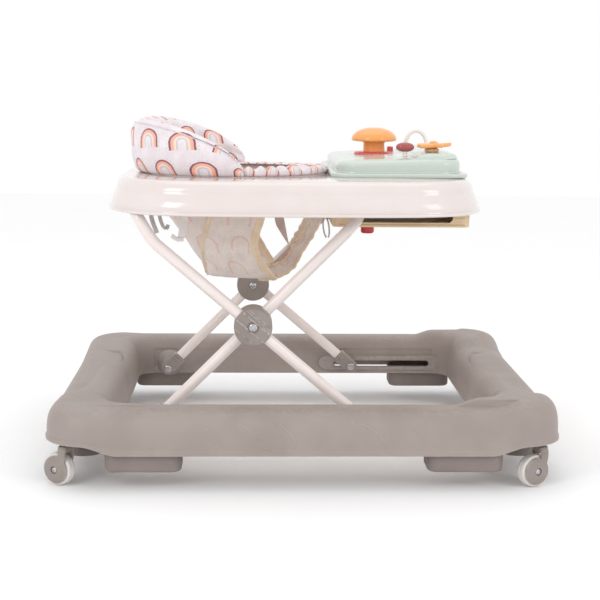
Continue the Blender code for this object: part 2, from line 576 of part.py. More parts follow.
def tray_fittings():
    """What hangs under the tray: rear bar clips, the front bar's channel and its release button."""
    top = TRAY_UNDER_Z - GAP
    channel_top = TRAY_LIP_Z + 0.034
    for side, side_word in ((-1, "near"), (1, "far")):
        y = side * 0.140
        outline = rounded_box(TRAY_PIVOT_X - 0.014, TRAY_PIVOT_X + 0.014,
                              TRAY_PIVOT_Z - 0.012, top, 0.005, 2)
        clip = add(f"rear_clip_{side_word}", prism(outline, y - 0.012, y + 0.012, "XZ"), IVORY, TRAY_PIVOT)
        combine(clip, cylinder((TRAY_PIVOT_X, y, TRAY_PIVOT_Z), TUBE_R + GAP, 0.05, "Y"))
    half = CHANNEL_WIDTH / 2
    wall = SHELL_WALL
    outline = rounded_box(CHANNEL_REAR_X, CHANNEL_FRONT_X, -half, half, 0.010, 3)
    channel = add("front_channel", prism(outline, CHANNEL_BOTTOM_Z, channel_top), IVORY, TRAY_PIVOT)
    combine(channel, box((CHANNEL_REAR_X + wall, wall - half, CHANNEL_BOTTOM_Z + wall),
                         (CHANNEL_FRONT_X - wall, half - wall, TRAY_TOP_Z + 0.02)))
    clear = TUBE_R + 0.0035
    slot = rounded_box(BAR_X - clear, BAR_X + BAR_TRAVEL + clear, BAR_Z - clear, BAR_Z + clear, 0.010, 3)
    combine(channel, prism(slot, -half - 0.02, half + 0.02, "XZ"))
    button_x = BAR_X + 0.0225
    button_y = -0.025
    combine(channel, cylinder((button_x, button_y, CHANNEL_BOTTOM_Z), 0.0108, 0.02))
    low = CHANNEL_BOTTOM_Z - 0.022
    profile = [(0, low), (0.0088, low), (0.0100, low + 0.0015), (0.0100, low + 0.0170),
               (0.0060, low + 0.0170), (0.0060, low + 0.0235), (0, low + 0.0235)]
    add("release_button", turned((button_x, button_y, 0), profile), RED, (button_x, button_y, low))


def seat():
    """Soft seat: the wrapped backrest, the front rim roll and the hanging sling."""
    outer, out_n = loop_outline(SEAT_REAR_X, SEAT_FRONT_X, SEAT_WIDTH / 2, 0.110, 0.110, 6, 6)
    low = TRAY_TOP_Z + GAP
    back_half = BACK_THICK / 2
    sections = []
    wing_x = SEAT_REAR_X + 0.54 * SEAT_LENGTH
    for k in [k for k in range(len(outer)) if outer[k][0] < wing_x]:
        spot = outer[k] + out_n[k] * 0.012
        rear = smooth_step((wing_x - outer[k][0]) / (wing_x - SEAT_REAR_X))
        height = 0.010 + (BACK_HEIGHT - 0.010) * rear
        thick = back_half * (0.45 + 0.55 * rear)
        shape = [(1, 0.0), (1, 0.7), (0.6, 0.95), (0, 1.0), (-0.6, 0.95), (-1, 0.7), (-1, 0.0)]
        sections.append([(*(spot + out_n[k] * thick * a), low + height * b) for a, b in shape])
    add("seat_backrest", ring_mesh(sections, closed=False), PRINT, TRAY_PIVOT)
    sections = []
    front = [k for k in range(len(outer)) if outer[k][0] > wing_x + 0.015]
    start = max(range(len(front)), key=lambda k: (front[k] - front[k - 1]) % len(outer))
    for k in front[start:] + front[:start]:
        spot = outer[k] - out_n[k] * 0.004
        shape = [(1, 0.0), (1, 0.6), (0.5, 1.0), (-0.5, 1.0), (-1, 0.6), (-1, 0.0)]
        sections.append([(*(spot + out_n[k] * 0.011 * a), low + 0.009 * b) for a, b in shape])
    add("seat_rim", ring_mesh(sections, closed=False), PRINT, TRAY_PIVOT)
    rows = 6
    bucket = []
    for thickness, way in ((0.0, 1), (SLING_WALL, -1)):
        layers = []
        for k in range(rows + 1):
            share = k / rows
            drop = math.sin(share * math.pi / 2)
            inset = 0.004 + thickness + 0.075 * share ** 2.2
            rear_in = 0.055 * share ** 1.2
            front_in = 0.075 * share ** 1.6
            z = TRAY_LIP_Z + 0.012 + (SEAT_BOTTOM_Z + thickness - TRAY_LIP_Z - 0.012) * drop
            rear_x = SEAT_REAR_X + 0.004 + thickness + rear_in
            front_x = SEAT_FRONT_X - 0.004 - thickness - front_in
            line, _ = loop_outline(rear_x, front_x, SEAT_WIDTH / 2 - inset, 0.045, 0.045, 3, 3)
            layers.append([(*p, z) for p in line])
        bucket.append(layers)
    shape = bmesh.new()
    skins = [[[shape.verts.new(p) for p in layer] for layer in layers] for layers in bucket]
    count = len(skins[0][0])
    for layers in skins:
        for one, two in zip(layers, layers[1:]):
            for k in range(count):
                shape.faces.new((one[k - 1], one[k], two[k], two[k - 1]))
        shape.faces.new(layers[-1])
    for k in range(count):
        shape.faces.new((skins[0][0][k - 1], skins[0][0][k], skins[1][0][k], skins[1][0][k - 1]))
    sling = add("seat_sling", from_bmesh(shape), MESH_CLOTH, TRAY_PIVOT)
    for side in (-1, 1):
        hole_mid = (SEAT_FRONT_X - 0.024, side * (SEAT_WIDTH / 2 - 0.050), SEAT_BOTTOM_Z + 0.060)
        combine(sling, ball(hole_mid, (LEG_HOLE_R, LEG_HOLE_R, LEG_HOLE_R), 14, 8))


# ---- toy panel ----------------------------------------------------------------------------
def toy_panel():
    """The removable play tray: a flange, a crowned body and the toys on it."""
    half = PANEL_WIDTH / 2
    flange_low = TRAY_TOP_Z + GAP
    outline = rounded_box(PANEL_REAR_X - FLANGE_MARGIN, PANEL_FRONT_X + FLANGE_MARGIN,
                          -half - FLANGE_MARGIN, half + FLANGE_MARGIN, 0.030, 5)
    flange = add("panel_flange", prism(outline, flange_low, FLANGE_TOP_Z, bevel=0.003), MINT, TRAY_PIVOT)
    combine(flange, box((PANEL_REAR_X + 0.012, 0.012 - half, flange_low - 0.01),
                        (PANEL_FRONT_X - 0.012, half - 0.012, FLANGE_TOP_Z + 0.01)))
    sections = []
    wall = SHELL_WALL
    levels = [(0.0, 0.0), (0.001, 0.40), (0.004, 0.72), (0.010, 0.91), (0.020, 1.0)]
    inside = [(0.020, 1.0), (0.012, 0.92), (wall + 0.004, 0.70), (wall + 0.001, 0.40), (wall, 0.0)]
    low = FLANGE_TOP_Z + GAP
    for inset, share, depth in [(a, b, 0.0) for a, b in levels] + [(a, b, wall) for a, b in inside]:
        line = rounded_box(PANEL_REAR_X + inset, PANEL_FRONT_X - inset, inset - half, half - inset,
                           0.034 - inset * 0.6, 5)
        slope = PANEL_RISE / PANEL_LENGTH
        sections.append([(x, y, low + share * (PANEL_HEIGHT - depth + slope * (x - PANEL_REAR_X)))
                         for x, y in line])
    shape = bmesh.new()
    rows = [[shape.verts.new(p) for p in loop] for loop in sections]
    count = len(rows[0])
    last = len(levels) - 1
    for index, (one, two) in enumerate(zip(rows, rows[1:] + rows[:1])):
        if index == last:
            shape.faces.new(one)
            shape.faces.new(two)
            continue
        for k in range(count):
            shape.faces.new((one[k - 1], one[k], two[k], two[k - 1]))
    body = add("panel_body", from_bmesh(shape), MINT, TRAY_PIVOT, smooth=25)
    step_x = PANEL_REAR_X + STEP_REAR
    raised = rounded_box(step_x, PANEL_FRONT_X - 0.007, 0.009 - half, half - 0.009, 0.024, 5)
    step_low, step_top = panel_height(step_x) - 0.0016, panel_height(PANEL_FRONT_X) + STEP_RISE
    combine(body, prism(raised, step_low, step_top, bevel=0.003), "UNION")
    hole_x = PANEL_REAR_X + PRESS_AT[0]
    half_x, half_y = PRESS_HALF[0] + 2 * GAP, PRESS_HALF[1] + 2 * GAP
    hole_low = (hole_x - half_x, PRESS_AT[1] - half_y, low)
    combine(body, box(hole_low, (hole_x + half_x, PRESS_AT[1] + half_y, low + 0.05)))


def panel_height(x):
    """Height of the panel body's sloping top at a place along the walker."""
    rise = PANEL_RISE * (x - PANEL_REAR_X) / (PANEL_FRONT_X - PANEL_REAR_X)
    return FLANGE_TOP_Z + GAP + PANEL_HEIGHT + rise


def step_height():
    return panel_height(PANEL_FRONT_X) + STEP_RISE + GAP


def toys():
    knob_x, knob_y = PANEL_REAR_X + KNOB_AT[0], KNOB_AT[1]
    low = panel_height(knob_x + KNOB_SEAT_R) + GAP
    seat_mid = (knob_x, knob_y, low + KNOB_SEAT_T / 2)
    add("knob_seat", cylinder(seat_mid, KNOB_SEAT_R, KNOB_SEAT_T, "Z", 32), RED, TRAY_PIVOT)
    z = low + KNOB_SEAT_T + GAP
    cap = z + KNOB_STEM_TALL
    profile = [(0, z), (KNOB_STEM_R, z), (KNOB_STEM_R, cap), (KNOB_R * 0.88, cap - 0.0005),
               (KNOB_R, cap + 0.0035), (KNOB_R * 0.93, cap + 0.0090), (KNOB_R * 0.72, cap + 0.0150),
               (KNOB_R * 0.38, cap + 0.0190), (0, cap + 0.0205)]
    add("mushroom_knob", turned((knob_x, knob_y, 0), profile, 32), ORANGE, (knob_x, knob_y, z))
    press_x, press_y = PANEL_REAR_X + PRESS_AT[0], PRESS_AT[1]
    z = panel_height(press_x)
    corner_low = (press_x - PRESS_HALF[0], press_y - PRESS_HALF[1], z - PRESS_SINK)
    corner_high = (press_x + PRESS_HALF[0], press_y + PRESS_HALF[1], z + PRESS_RISE)
    add("press_button", box(corner_low, corner_high), RED, (press_x, press_y, z))
    lever_x, lever_y = PANEL_REAR_X + LEVER_AT[0], LEVER_AT[1]
    z = panel_height(lever_x + 0.004) + LEVER_LIFT
    pivot = (lever_x, lever_y, z + 0.002)
    add("lever_stalk", cylinder((lever_x, lever_y, z + 0.0042), 0.0040, 0.0064, "Z", 12), WHITE, pivot)
    add("lever_grip", ball((lever_x, lever_y, z + 0.0145), (0.0130, 0.0090, 0.0068)), BRICK, pivot)
    flower_x, flower_y = PANEL_REAR_X + FLOWER_AT[0], FLOWER_AT[1]
    z = step_height()
    post = [(0, z), (0.0085, z), (0.0105, z + 0.0025), (0.0085, z + 0.0050), (0, z + 0.0060)]
    add("flower_post", turned((flower_x, flower_y, 0), post, 20), TAN, TRAY_PIVOT)
    top = z + 0.0065
    petal_ring = []
    for k in range(60):
        turn = math.tau * k / 60
        reach = PETAL_R + PETAL_WAVE * math.cos(5 * turn)
        petal_ring.append((flower_x + reach * math.cos(turn), flower_y + reach * math.sin(turn)))
    spinner = prism(petal_ring, top, top + 0.0055, bevel=0.0012)
    add("flower_spinner", spinner, ORANGE, (flower_x, flower_y, top))
    arch_x, arch_y = PANEL_REAR_X + ARCH_AT[0], ARCH_AT[1]
    z = step_height()
    ring = [Vector((arch_x + ARCH_HALF * math.cos(t), arch_y, z + ARCH_R + ARCH_RISE * math.sin(t)))
            for t in np.radians(np.linspace(180, 0, 15))]
    ring = [Vector((arch_x - ARCH_HALF, arch_y, z))] + ring + [Vector((arch_x + ARCH_HALF, arch_y, z))]
    add("toy_arch", tube_mesh(ring, ARCH_R, None, 10), WHITE, TRAY_PIVOT)


def main():
    for leftover in list(bpy.data.objects):
        bpy.data.objects.remove(leftover)
    base_ring()
    brake_pads()
    casters()
    leg_frames()
    feet()
    tray_shell()
    tray_fittings()
    seat()
    toy_panel()
    toys()


main()
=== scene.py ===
import json
import math

import bmesh
import bpy
import numpy as np
from mathutils import Matrix, Vector


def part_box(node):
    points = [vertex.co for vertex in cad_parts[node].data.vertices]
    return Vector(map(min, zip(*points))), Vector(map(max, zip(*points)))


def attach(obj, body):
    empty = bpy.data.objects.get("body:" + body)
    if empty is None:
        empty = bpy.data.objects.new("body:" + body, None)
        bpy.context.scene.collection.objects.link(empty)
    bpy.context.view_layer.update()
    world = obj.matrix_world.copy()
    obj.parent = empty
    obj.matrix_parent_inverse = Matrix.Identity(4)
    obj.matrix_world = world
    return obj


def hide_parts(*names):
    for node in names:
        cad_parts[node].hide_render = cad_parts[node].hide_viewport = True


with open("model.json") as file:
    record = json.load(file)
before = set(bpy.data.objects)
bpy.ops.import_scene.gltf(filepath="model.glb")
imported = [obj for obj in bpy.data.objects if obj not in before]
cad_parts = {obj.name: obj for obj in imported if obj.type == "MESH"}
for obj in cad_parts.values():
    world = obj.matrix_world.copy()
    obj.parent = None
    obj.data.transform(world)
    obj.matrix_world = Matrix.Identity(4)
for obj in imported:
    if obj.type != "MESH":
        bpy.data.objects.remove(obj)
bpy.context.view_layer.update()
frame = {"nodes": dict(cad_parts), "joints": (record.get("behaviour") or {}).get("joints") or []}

cadNodes = frame["nodes"]
ends = (("rear", -1), ("front", 1))
sides = (("near", -1), ("far", 1))
print("frame loaded:", len(cadNodes), "nodes")


# shapes: every one is (points, faces, uv), worked out as whole arrays
def smoothStep(value):
    # 3t^2 - 2t^3 on a value held between 0 and 1
    t = np.clip(value, 0.0, 1.0)
    return t * t * (3 - 2 * t)


def unit(rows):
    # each row over its own length
    return rows / np.maximum(np.linalg.norm(rows, axis=-1, keepdims=True), 1e-12)


def gridFaces(rowCount, colCount, wrap=False):
    # quads between neighbouring rows and columns; wrap joins the last row to the first
    row = np.arange(rowCount if wrap else rowCount - 1)[:, None]
    col = np.arange(colCount - 1)[None, :]
    here = row * colCount + col
    ahead = ((row + 1) % rowCount) * colCount + col
    return np.stack([here, here + 1, ahead + 1, ahead], axis=-1).reshape(-1, 4).tolist()


def gridShape(points, uv=None, wrap=False):
    # a grid of points (rows, columns, 3) as a skin
    rowCount, colCount = points.shape[:2]
    flatUv = None if uv is None else uv.reshape(-1, 2)
    return points.reshape(-1, 3), gridFaces(rowCount, colCount, wrap), flatUv


def joinShapes(*shapes):
    # several shapes as one, each keeping its own points
    points, faces, uvs, count = [], [], [], 0
    for shapePoints, shapeFaces, shapeUv in shapes:
        points.append(shapePoints)
        faces += [[index + count for index in face] for face in shapeFaces]
        uvs.append(np.zeros((len(shapePoints), 2)) if shapeUv is None else shapeUv)
        count += len(shapePoints)
    return np.concatenate(points), faces, np.concatenate(uvs)


def latheShape(profile, centre, axis=(0, 0, 1), steps=48):
    # a profile of (radius, height) turned round an axis through the centre: centre + h axis + r (cos a,
    # sin a)
    axis = unit(np.array(axis, float))
    side = unit(np.cross(axis, (0.3, 0.2, 0.9) if abs(axis[2]) < 0.9 else (1.0, 0.0, 0.0)))
    other = np.cross(axis, side)
    turn = np.linspace(0, math.tau, steps + 1)
    radius, height = np.array(profile, float).T
    spoke = np.cos(turn)[:, None] * side + np.sin(turn)[:, None] * other
    points = np.array(centre) + height[:, None, None] * axis + radius[:, None, None] * spoke[None]
    return gridShape(points)


def smoothPath(corners, count):
    # Catmull-Rom curve through the corner points, both ends in
    corners = np.array(corners, float)
    padded = np.concatenate([2 * corners[:1] - corners[1:2], corners, 2 * corners[-1:] - corners[-2:-1]])
    place = np.linspace(0, len(corners) - 1, count)
    k = np.minimum(place.astype(int), len(corners) - 2)
    t = (place - k)[:, None]
    a, b, c, d = padded[k], padded[k + 1], padded[k + 2], padded[k + 3]
    return 0.5 * (2 * b + (c - a) * t + (2 * a - 5 * b + 4 * c - d) * t ** 2 + (3 * b - a - 3 * c + d)
                  * t ** 3)


def filletPath(corners, radii, steps=10):
    # straight runs joined by arcs of the given radii, all turned in one go per corner
    corners = np.array(corners, float)
    parts = [corners[:1]]
    for before, here, after, radius in zip(corners, corners[1:], corners[2:], radii):
        back, ahead = unit(before - here), unit(after - here)
        half = math.acos(float(back @ ahead)) / 2
        centre = here + unit(back + ahead) * radius / math.sin(half)
        first = here + back * radius / math.tan(half) - centre
        last = here + ahead * radius / math.tan(half) - centre
        span = math.pi - 2 * half
        t = np.linspace(0, span, steps + 1)[:, None]
        parts.append(centre + (first * np.sin(span - t) + last * np.sin(t)) / math.sin(span))
    return np.concatenate(parts + [corners[-1:]])


def circleSection(radius, steps=16):
    # r (cos a, sin a)
    turn = np.linspace(0, math.tau, steps + 1)
    return radius * np.stack([np.cos(turn), np.sin(turn)], axis=-1)


def bandSection(width, thickness, steps=6):
    # a flat band with round edges: |x/w|^8 + |y/t|^2 = 1
    turn = np.linspace(0, math.tau, 4 * steps + 1)
    across = np.sign(np.cos(turn)) * np.abs(np.cos(turn)) ** 0.35 * width / 2
    return np.stack([across, np.sin(turn) * thickness / 2], axis=-1)


def sweepShape(path, section, across=(0, 1, 0), loop=False, swell=None):
    # a section carried along a path: point = path + a side + b up, with side square to the path and `across`
    path = np.array(path, float)
    if loop:
        tangent = unit(np.roll(path, -1, axis=0) - np.roll(path, 1, axis=0))
    else:
        tangent = unit(np.gradient(path, axis=0))
    across = np.broadcast_to(np.array(across, float), path.shape)
    side = unit(across - tangent * np.sum(across * tangent, axis=-1, keepdims=True))
    up = np.cross(tangent, side)
    section = np.broadcast_to(section, (len(path), *section.shape[-2:]))
    if swell is not None:
        section = section * np.asarray(swell)[:, None, None]
    points = path[:, None] + side[:, None] * section[..., :1] + up[:, None] * section[..., 1:]
    step = np.linalg.norm(np.diff(path, axis=0), axis=1)
    along = np.concatenate([[0.0], np.cumsum(step)])
    girth = np.concatenate([[0.0], np.cumsum(np.linalg.norm(np.diff(section[0], axis=0), axis=1))])
    uv = np.stack(np.broadcast_arrays(along[:, None], girth[None]), axis=-1)
    if not loop:
        points = np.concatenate([path[:1, None] + 0 * points[:1], points, path[-1:, None] + 0 * points[-1:]])
        uv = np.concatenate([uv[:1], uv, uv[-1:]])
    return gridShape(points, uv, wrap=loop)


def roundedLoop(x0, x1, halfY, rearR, frontR, straight=40, bend=20):
    # a rounded rectangle about Z with equal counts on each run, and its outward normals
    corners = [((x1 - frontR, halfY - frontR), frontR, 0), ((x0 + rearR, halfY - rearR), rearR, 90),
               ((x0 + rearR, rearR - halfY), rearR, 180), ((x1 - frontR, frontR - halfY), frontR, 270)]
    points, normals = [], []
    for index, (centre, radius, start) in enumerate(corners):
        turn = np.radians(np.linspace(start, start + 90, bend + 1))
        heading = np.stack([np.cos(turn), np.sin(turn)], axis=1)
        arc = np.array(centre) + radius * heading
        following = corners[(index + 1) % 4]
        finish = np.array(following[0]) + following[1] * heading[-1]
        share = np.linspace(0, 1, straight + 1)[1:-1, None]
        points += [arc, arc[-1] + (finish - arc[-1]) * share]
        normals += [heading, np.repeat(heading[-1:], straight - 1, axis=0)]
    return np.concatenate(points), np.concatenate(normals)


def outlineNormals(outline):
    # outward normals of an anticlockwise outline
    tangent = unit(np.roll(outline, -1, axis=0) - np.roll(outline, 1, axis=0))
    return np.stack([tangent[:, 1], -tangent[:, 0]], axis=-1)


def slabShape(outline, low, high, round=0.001, plane="XY", steps=4, crown=0.0):
    # an outline stood between two heights, its rims turned on quarter arcs and its faces closed by rings
    outline = np.array(outline, float)
    normals = outlineNormals(outline)
    turn = np.linspace(0, math.pi / 2, steps + 1)
    inset = np.concatenate([round * (1 - np.sin(turn)), round * (1 - np.cos(turn))])
    height = np.concatenate([low + round * (1 - np.cos(turn)), high - round * (1 - np.sin(turn))])
    loops = outline[None] - normals[None] * inset[:, None, None]
    middle = outline.mean(axis=0)
    shares = np.array([0.0, 0.35, 0.7, 0.92])[:, None, None]
    under = middle + (loops[:1] - middle) * shares
    over = middle + (loops[-1:] - middle) * shares[::-1]
    flat = np.concatenate([under, loops, over])
    levels = np.concatenate([np.full(4, low), height, high + crown * (1 - shares[::-1, 0, 0] ** 2)])
    flat = np.concatenate([flat, flat[:, :1]], axis=1)
    levels = np.broadcast_to(levels[:, None, None], flat[..., :1].shape)
    order = {"XY": (0, 1, 2), "XZ": (0, 2, 1), "YZ": (2, 0, 1)}[plane]
    return gridShape(np.concatenate([flat, levels], axis=-1)[..., order])


def roundedOutline(x0, x1, y0, y1, radius, steps=8):
    # a rounded rectangle between four sides, as one outline
    loop, _ = roundedLoop(x0, x1, (y1 - y0) / 2, radius, radius, 4, steps)
    return loop + np.array([0.0, (y0 + y1) / 2])


def makePiece(name, shape, look, body, replaced=(), sharp=38, merge=1e-6):
    # a shape as a named mesh: doubles merged, normals outwards, smooth up to the sharp angle, riding on
    # its body
    points, faces, uv = shape
    mesh = bpy.data.meshes.new(name)
    mesh.from_pydata(points.tolist(), [], faces)
    if uv is not None:
        layer = mesh.uv_layers.new(name="clothMetres")
        corner = np.zeros(len(mesh.loops), np.int32)
        mesh.loops.foreach_get("vertex_index", corner)
        layer.data.foreach_set("uv", uv[corner].astype(np.float32).ravel())
    tidy = bmesh.new()
    tidy.from_mesh(mesh)
    bmesh.ops.remove_doubles(tidy, verts=tidy.verts, dist=merge)
    bmesh.ops.recalc_face_normals(tidy, faces=tidy.faces)
    tidy.to_mesh(mesh)
    tidy.free()
    mesh.shade_smooth()
    mesh.set_sharp_from_angle(angle=math.radians(sharp))
    mesh.materials.append(look)
    piece = bpy.data.objects.new(name, mesh)
    bpy.context.scene.collection.objects.link(piece)
    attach(piece, body)
    if replaced:
        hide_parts(*replaced)
    return piece


def boxSize(node):
    # a CAD node's lowest and highest corner
    low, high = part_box(node)
    return np.array(low), np.array(high)


def tint(code):
    # an sRGB colour code as linear values
    values = np.array([int(code[k:k + 2], 16) / 255 for k in (1, 3, 5)])
    linear = np.where(values <= 0.04045, values / 12.92, ((values + 0.055) / 1.055) ** 2.4)
    return (*(float(v) for v in linear), 1.0)


class NodeBench:
    # adds and wires nodes in one tree, with short names for sums and lookups
    def __init__(self, tree):
        self.tree = tree

    def add(self, kind, **settings):
        node = self.tree.nodes.new(kind)
        for key, value in settings.items():
            setattr(node, key, value)
        return node

    def feed(self, socket, value):
        if isinstance(value, bpy.types.NodeSocket):
            self.tree.links.new(value, socket)
        elif value is not None:
            socket.default_value = value

    def math(self, operation, a, b=None, c=None):
        node = self.add("ShaderNodeMath", operation=operation)
        for socket, value in zip(node.inputs, (a, b, c)):
            self.feed(socket, value)
        return node.outputs[0]

    def times(self, a, b):
        return self.math("MULTIPLY", a, b)

    def plus(self, a, b):
        return self.math("ADD", a, b)

    def minus(self, a, b):
        return self.math("SUBTRACT", a, b)

    def mix(self, share, a, b, blend="MIX"):
        node = self.add("ShaderNodeMix", data_type="RGBA", blend_type=blend)
        for key, value in ((0, share), (6, a), (7, b)):
            self.feed(node.inputs[key], value)
        return node.outputs[2]

    def span(self, value, low, high, start=0.0, stop=1.0):
        node = self.add("ShaderNodeMapRange", interpolation_type="SMOOTHSTEP")
        for key, number in zip(range(5), (value, low, high, start, stop)):
            self.feed(node.inputs[key], number)
        return node.outputs[0]

    def noise(self, vector, scale, detail=3.0, kind="Fac"):
        node = self.add("ShaderNodeTexNoise")
        self.feed(node.inputs["Vector"], vector)
        self.feed(node.inputs["Scale"], scale)
        self.feed(node.inputs["Detail"], detail)
        return node.outputs[kind]

    def split(self, vector):
        node = self.add("ShaderNodeSeparateXYZ")
        self.feed(node.inputs[0], vector)
        return node.outputs

    def join(self, x, y, z=0.0):
        node = self.add("ShaderNodeCombineXYZ")
        for socket, value in zip(node.inputs, (x, y, z)):
            self.feed(socket, value)
        return node.outputs[0]


def startGroup(name, inputs, outputs):
    # a shader group with named sockets; gives its tree, bench, inputs and outputs
    tree = bpy.data.node_groups.new(name, "ShaderNodeTree")
    kinds = {"value": "NodeSocketFloat", "colour": "NodeSocketColor", "vector": "NodeSocketVector"}
    for label, kind, default in inputs:
        socket = tree.interface.new_socket(name=label, in_out="INPUT", socket_type=kinds[kind])
        socket.default_value = default
    for label, kind in outputs:
        tree.interface.new_socket(name=label, in_out="OUTPUT", socket_type=kinds[kind])
    bench = NodeBench(tree)
    return tree, bench, bench.add("NodeGroupInput").outputs, bench.add("NodeGroupOutput").inputs


def mouldedGroup():
    # moulded or painted surface: slow colour drift, fine grain, paler edges from wear, painted shade
    # darkening its concave creases, and dust on what faces up
    tree, bench, given, out = startGroup(
        "mouldedSurface",
        [("Colour", "colour", (0.5, 0.5, 0.5, 1)), ("Deep colour", "colour", (0.4, 0.4, 0.4, 1)),
         ("Roughness", "value", 0.5), ("Grain scale", "value", 1800.0), ("Drift", "value", 0.5),
         ("Edge wear", "value", 0.2), ("Dust", "value", 0.1)],
        [("Colour", "colour"), ("Roughness", "value"), ("Height", "value")])
    place = bench.add("ShaderNodeTexCoord").outputs["Object"]
    slow = bench.span(bench.noise(place, 14.0, 4.0), 0.35, 0.65)
    fine = bench.noise(place, given["Grain scale"], 2.0)
    flow = bench.noise(place, 160.0, 3.0)
    colour = bench.mix(bench.times(slow, given["Drift"]), given["Colour"], given["Deep colour"])
    geometry = bench.add("ShaderNodeNewGeometry")
    edge = bench.span(geometry.outputs["Pointiness"], 0.515, 0.60)
    edge = bench.times(bench.times(edge, bench.span(flow, 0.3, 0.6)), given["Edge wear"])
    colour = bench.mix(edge, colour, tint("#f4efec"))
    # painted shade: concave creases are darkened toward the deep colour
    creaseShade = bench.span(geometry.outputs["Pointiness"], 0.485, 0.42)
    colour = bench.mix(bench.times(creaseShade, 0.35), colour, given["Deep colour"])
    upward = bench.span(bench.split(geometry.outputs["Normal"])[2], 0.55, 1.0)
    dust = bench.times(bench.times(upward, bench.span(flow, 0.35, 0.7)), given["Dust"])
    colour = bench.mix(dust, colour, tint("#d8d0ca"))
    uneven = bench.times(bench.minus(flow, 0.5), 0.10)
    rough = bench.plus(given["Roughness"], uneven)
    rough = bench.plus(rough, bench.times(dust, 0.3))
    bench.feed(out["Colour"], colour)
    bench.feed(out["Roughness"], rough)
    bench.feed(out["Height"], bench.plus(fine, bench.times(flow, 0.35)))
    return tree


def weaveGroup():
    # plain weave on the cloth's own metres: warp and weft as crossed sine ribs, with slubs; its Shade output
    # adds painted shade of crumples to the slubs' tone
    tree, bench, given, out = startGroup(
        "plainWeave", [("Threads per metre", "value", 1500.0)],
        [("Height", "value"), ("Shade", "value")])
    cloth = bench.add("ShaderNodeUVMap", uv_map="clothMetres").outputs[0]
    x, y, _ = bench.split(cloth)
    pace = bench.times(given[0], math.pi)
    warp = bench.math("ABSOLUTE", bench.math("SINE", bench.times(x, pace)))
    weft = bench.math("ABSOLUTE", bench.math("SINE", bench.times(y, pace)))
    ribs = bench.math("MAXIMUM", warp, weft)
    place = bench.add("ShaderNodeTexCoord").outputs["Object"]
    slub = bench.noise(place, 420.0, 2.0)
    crumple = bench.noise(place, 55.0, 3.0)
    bench.feed(out["Height"], bench.plus(bench.times(ribs, 0.5), slub))
    # painted shade: the crumple noise darkens the cloth in blotches where wrinkles would shade it
    crumpleShade = bench.times(crumple, 0.6)
    bench.feed(out["Shade"], bench.plus(bench.times(slub, 0.4), crumpleShade))
    return tree


def archGroup():
    # arches in staggered cells: r = |(x, max(y, 0))|, coloured in bands, each cell turned and sized its
    # own way
    tree, bench, given, out = startGroup(
        "archPrint", [("Cell", "value", 0.051), ("Ground", "colour", (0.8, 0.8, 0.8, 1))],
        [("Colour", "colour"), ("Mask", "value")])
    cloth = bench.add("ShaderNodeUVMap", uv_map="clothMetres").outputs[0]
    x, y, _ = bench.split(cloth)
    row = bench.math("FLOOR", bench.math("DIVIDE", y, bench.times(given[0], 0.86)))
    shift = bench.times(bench.math("MODULO", bench.math("ABSOLUTE", row), 2.0), 0.5)
    column = bench.plus(bench.math("DIVIDE", x, given[0]), shift)
    cellX = bench.math("FLOOR", column)
    inX = bench.times(bench.minus(bench.minus(column, cellX), 0.5), given[0])
    rowHeight = bench.times(given[0], 0.86)
    inY = bench.minus(y, bench.times(bench.plus(row, 0.42), rowHeight))
    chance = bench.add("ShaderNodeTexWhiteNoise", noise_dimensions="2D")
    bench.feed(chance.inputs["Vector"], bench.join(cellX, row))
    first, second, _ = bench.split(chance.outputs["Color"])
    angle = bench.times(bench.minus(first, 0.5), 0.45)
    cos, sin = bench.math("COSINE", angle), bench.math("SINE", angle)
    turnX = bench.minus(bench.times(inX, cos), bench.times(inY, sin))
    turnY = bench.plus(bench.times(inX, sin), bench.times(inY, cos))
    slim = bench.plus(0.95, bench.times(second, 0.35))
    armX = bench.times(turnX, slim)
    height = bench.math("MAXIMUM", turnY, 0.0)
    reach = bench.math("SQRT", bench.plus(bench.times(armX, armX),
                                          bench.times(height, height)))
    wobble = bench.noise(cloth, 260.0, 2.0)
    reach = bench.plus(reach, bench.times(bench.minus(wobble, 0.5), 0.0012))
    foot = bench.span(turnY, -0.0118, -0.0112)
    colour = given[1]
    mask = None
    bands = [(0.0152, 0.0026, "#8f5a63", 1.0), (0.0120, 0.0034, "#f3ad94", 1.0),
             (0.0094, 0.0018, "#f9d3c2", 1.0), (0.0062, 0.0022, "#c6c1c4", 0.85)]
    for middle, width, code, strength in bands:
        away = bench.math("ABSOLUTE", bench.minus(reach, middle))
        band = bench.span(away, width / 2 + 0.0002, width / 2 - 0.0002)
        band = bench.times(bench.times(band, foot), strength)
        colour = bench.mix(band, colour, tint(code))
        mask = band if mask is None else bench.math("MAXIMUM", mask, band)
    # short faint rays round the arch
    around = bench.math("ARCTAN2", turnY, armX)
    rays = bench.span(bench.math("SINE", bench.times(around, 22.0)), 0.55, 0.8)
    ring = bench.span(bench.math("ABSOLUTE", bench.minus(reach, 0.0192)), 0.0012, 0.0008)
    rays = bench.times(bench.times(rays, ring), bench.times(foot, 0.5))
    colour = bench.mix(rays, colour, tint("#c3b8b6"))
    bench.feed(out["Colour"], colour)
    bench.feed(out["Mask"], mask)
    return tree


mouldedSurface = mouldedGroup()
plainWeave = weaveGroup()
archPrint = archGroup()


def startLook(name):
    # a new material with its bench and its Principled shader
    look = bpy.data.materials.new(name)
    look.use_nodes = True
    bench = NodeBench(look.node_tree)
    return look, bench, look.node_tree.nodes["Principled BSDF"]


def bumpInto(bench, shader, height, distance, strength=1.0):
    # height as a bump of so many metres into Normal
    bump = bench.add("ShaderNodeBump")
    bench.feed(bump.inputs["Height"], height)
    bump.inputs["Distance"].default_value = distance
    bump.inputs["Strength"].default_value = strength
    bench.feed(shader.inputs["Normal"], bump.outputs[0])


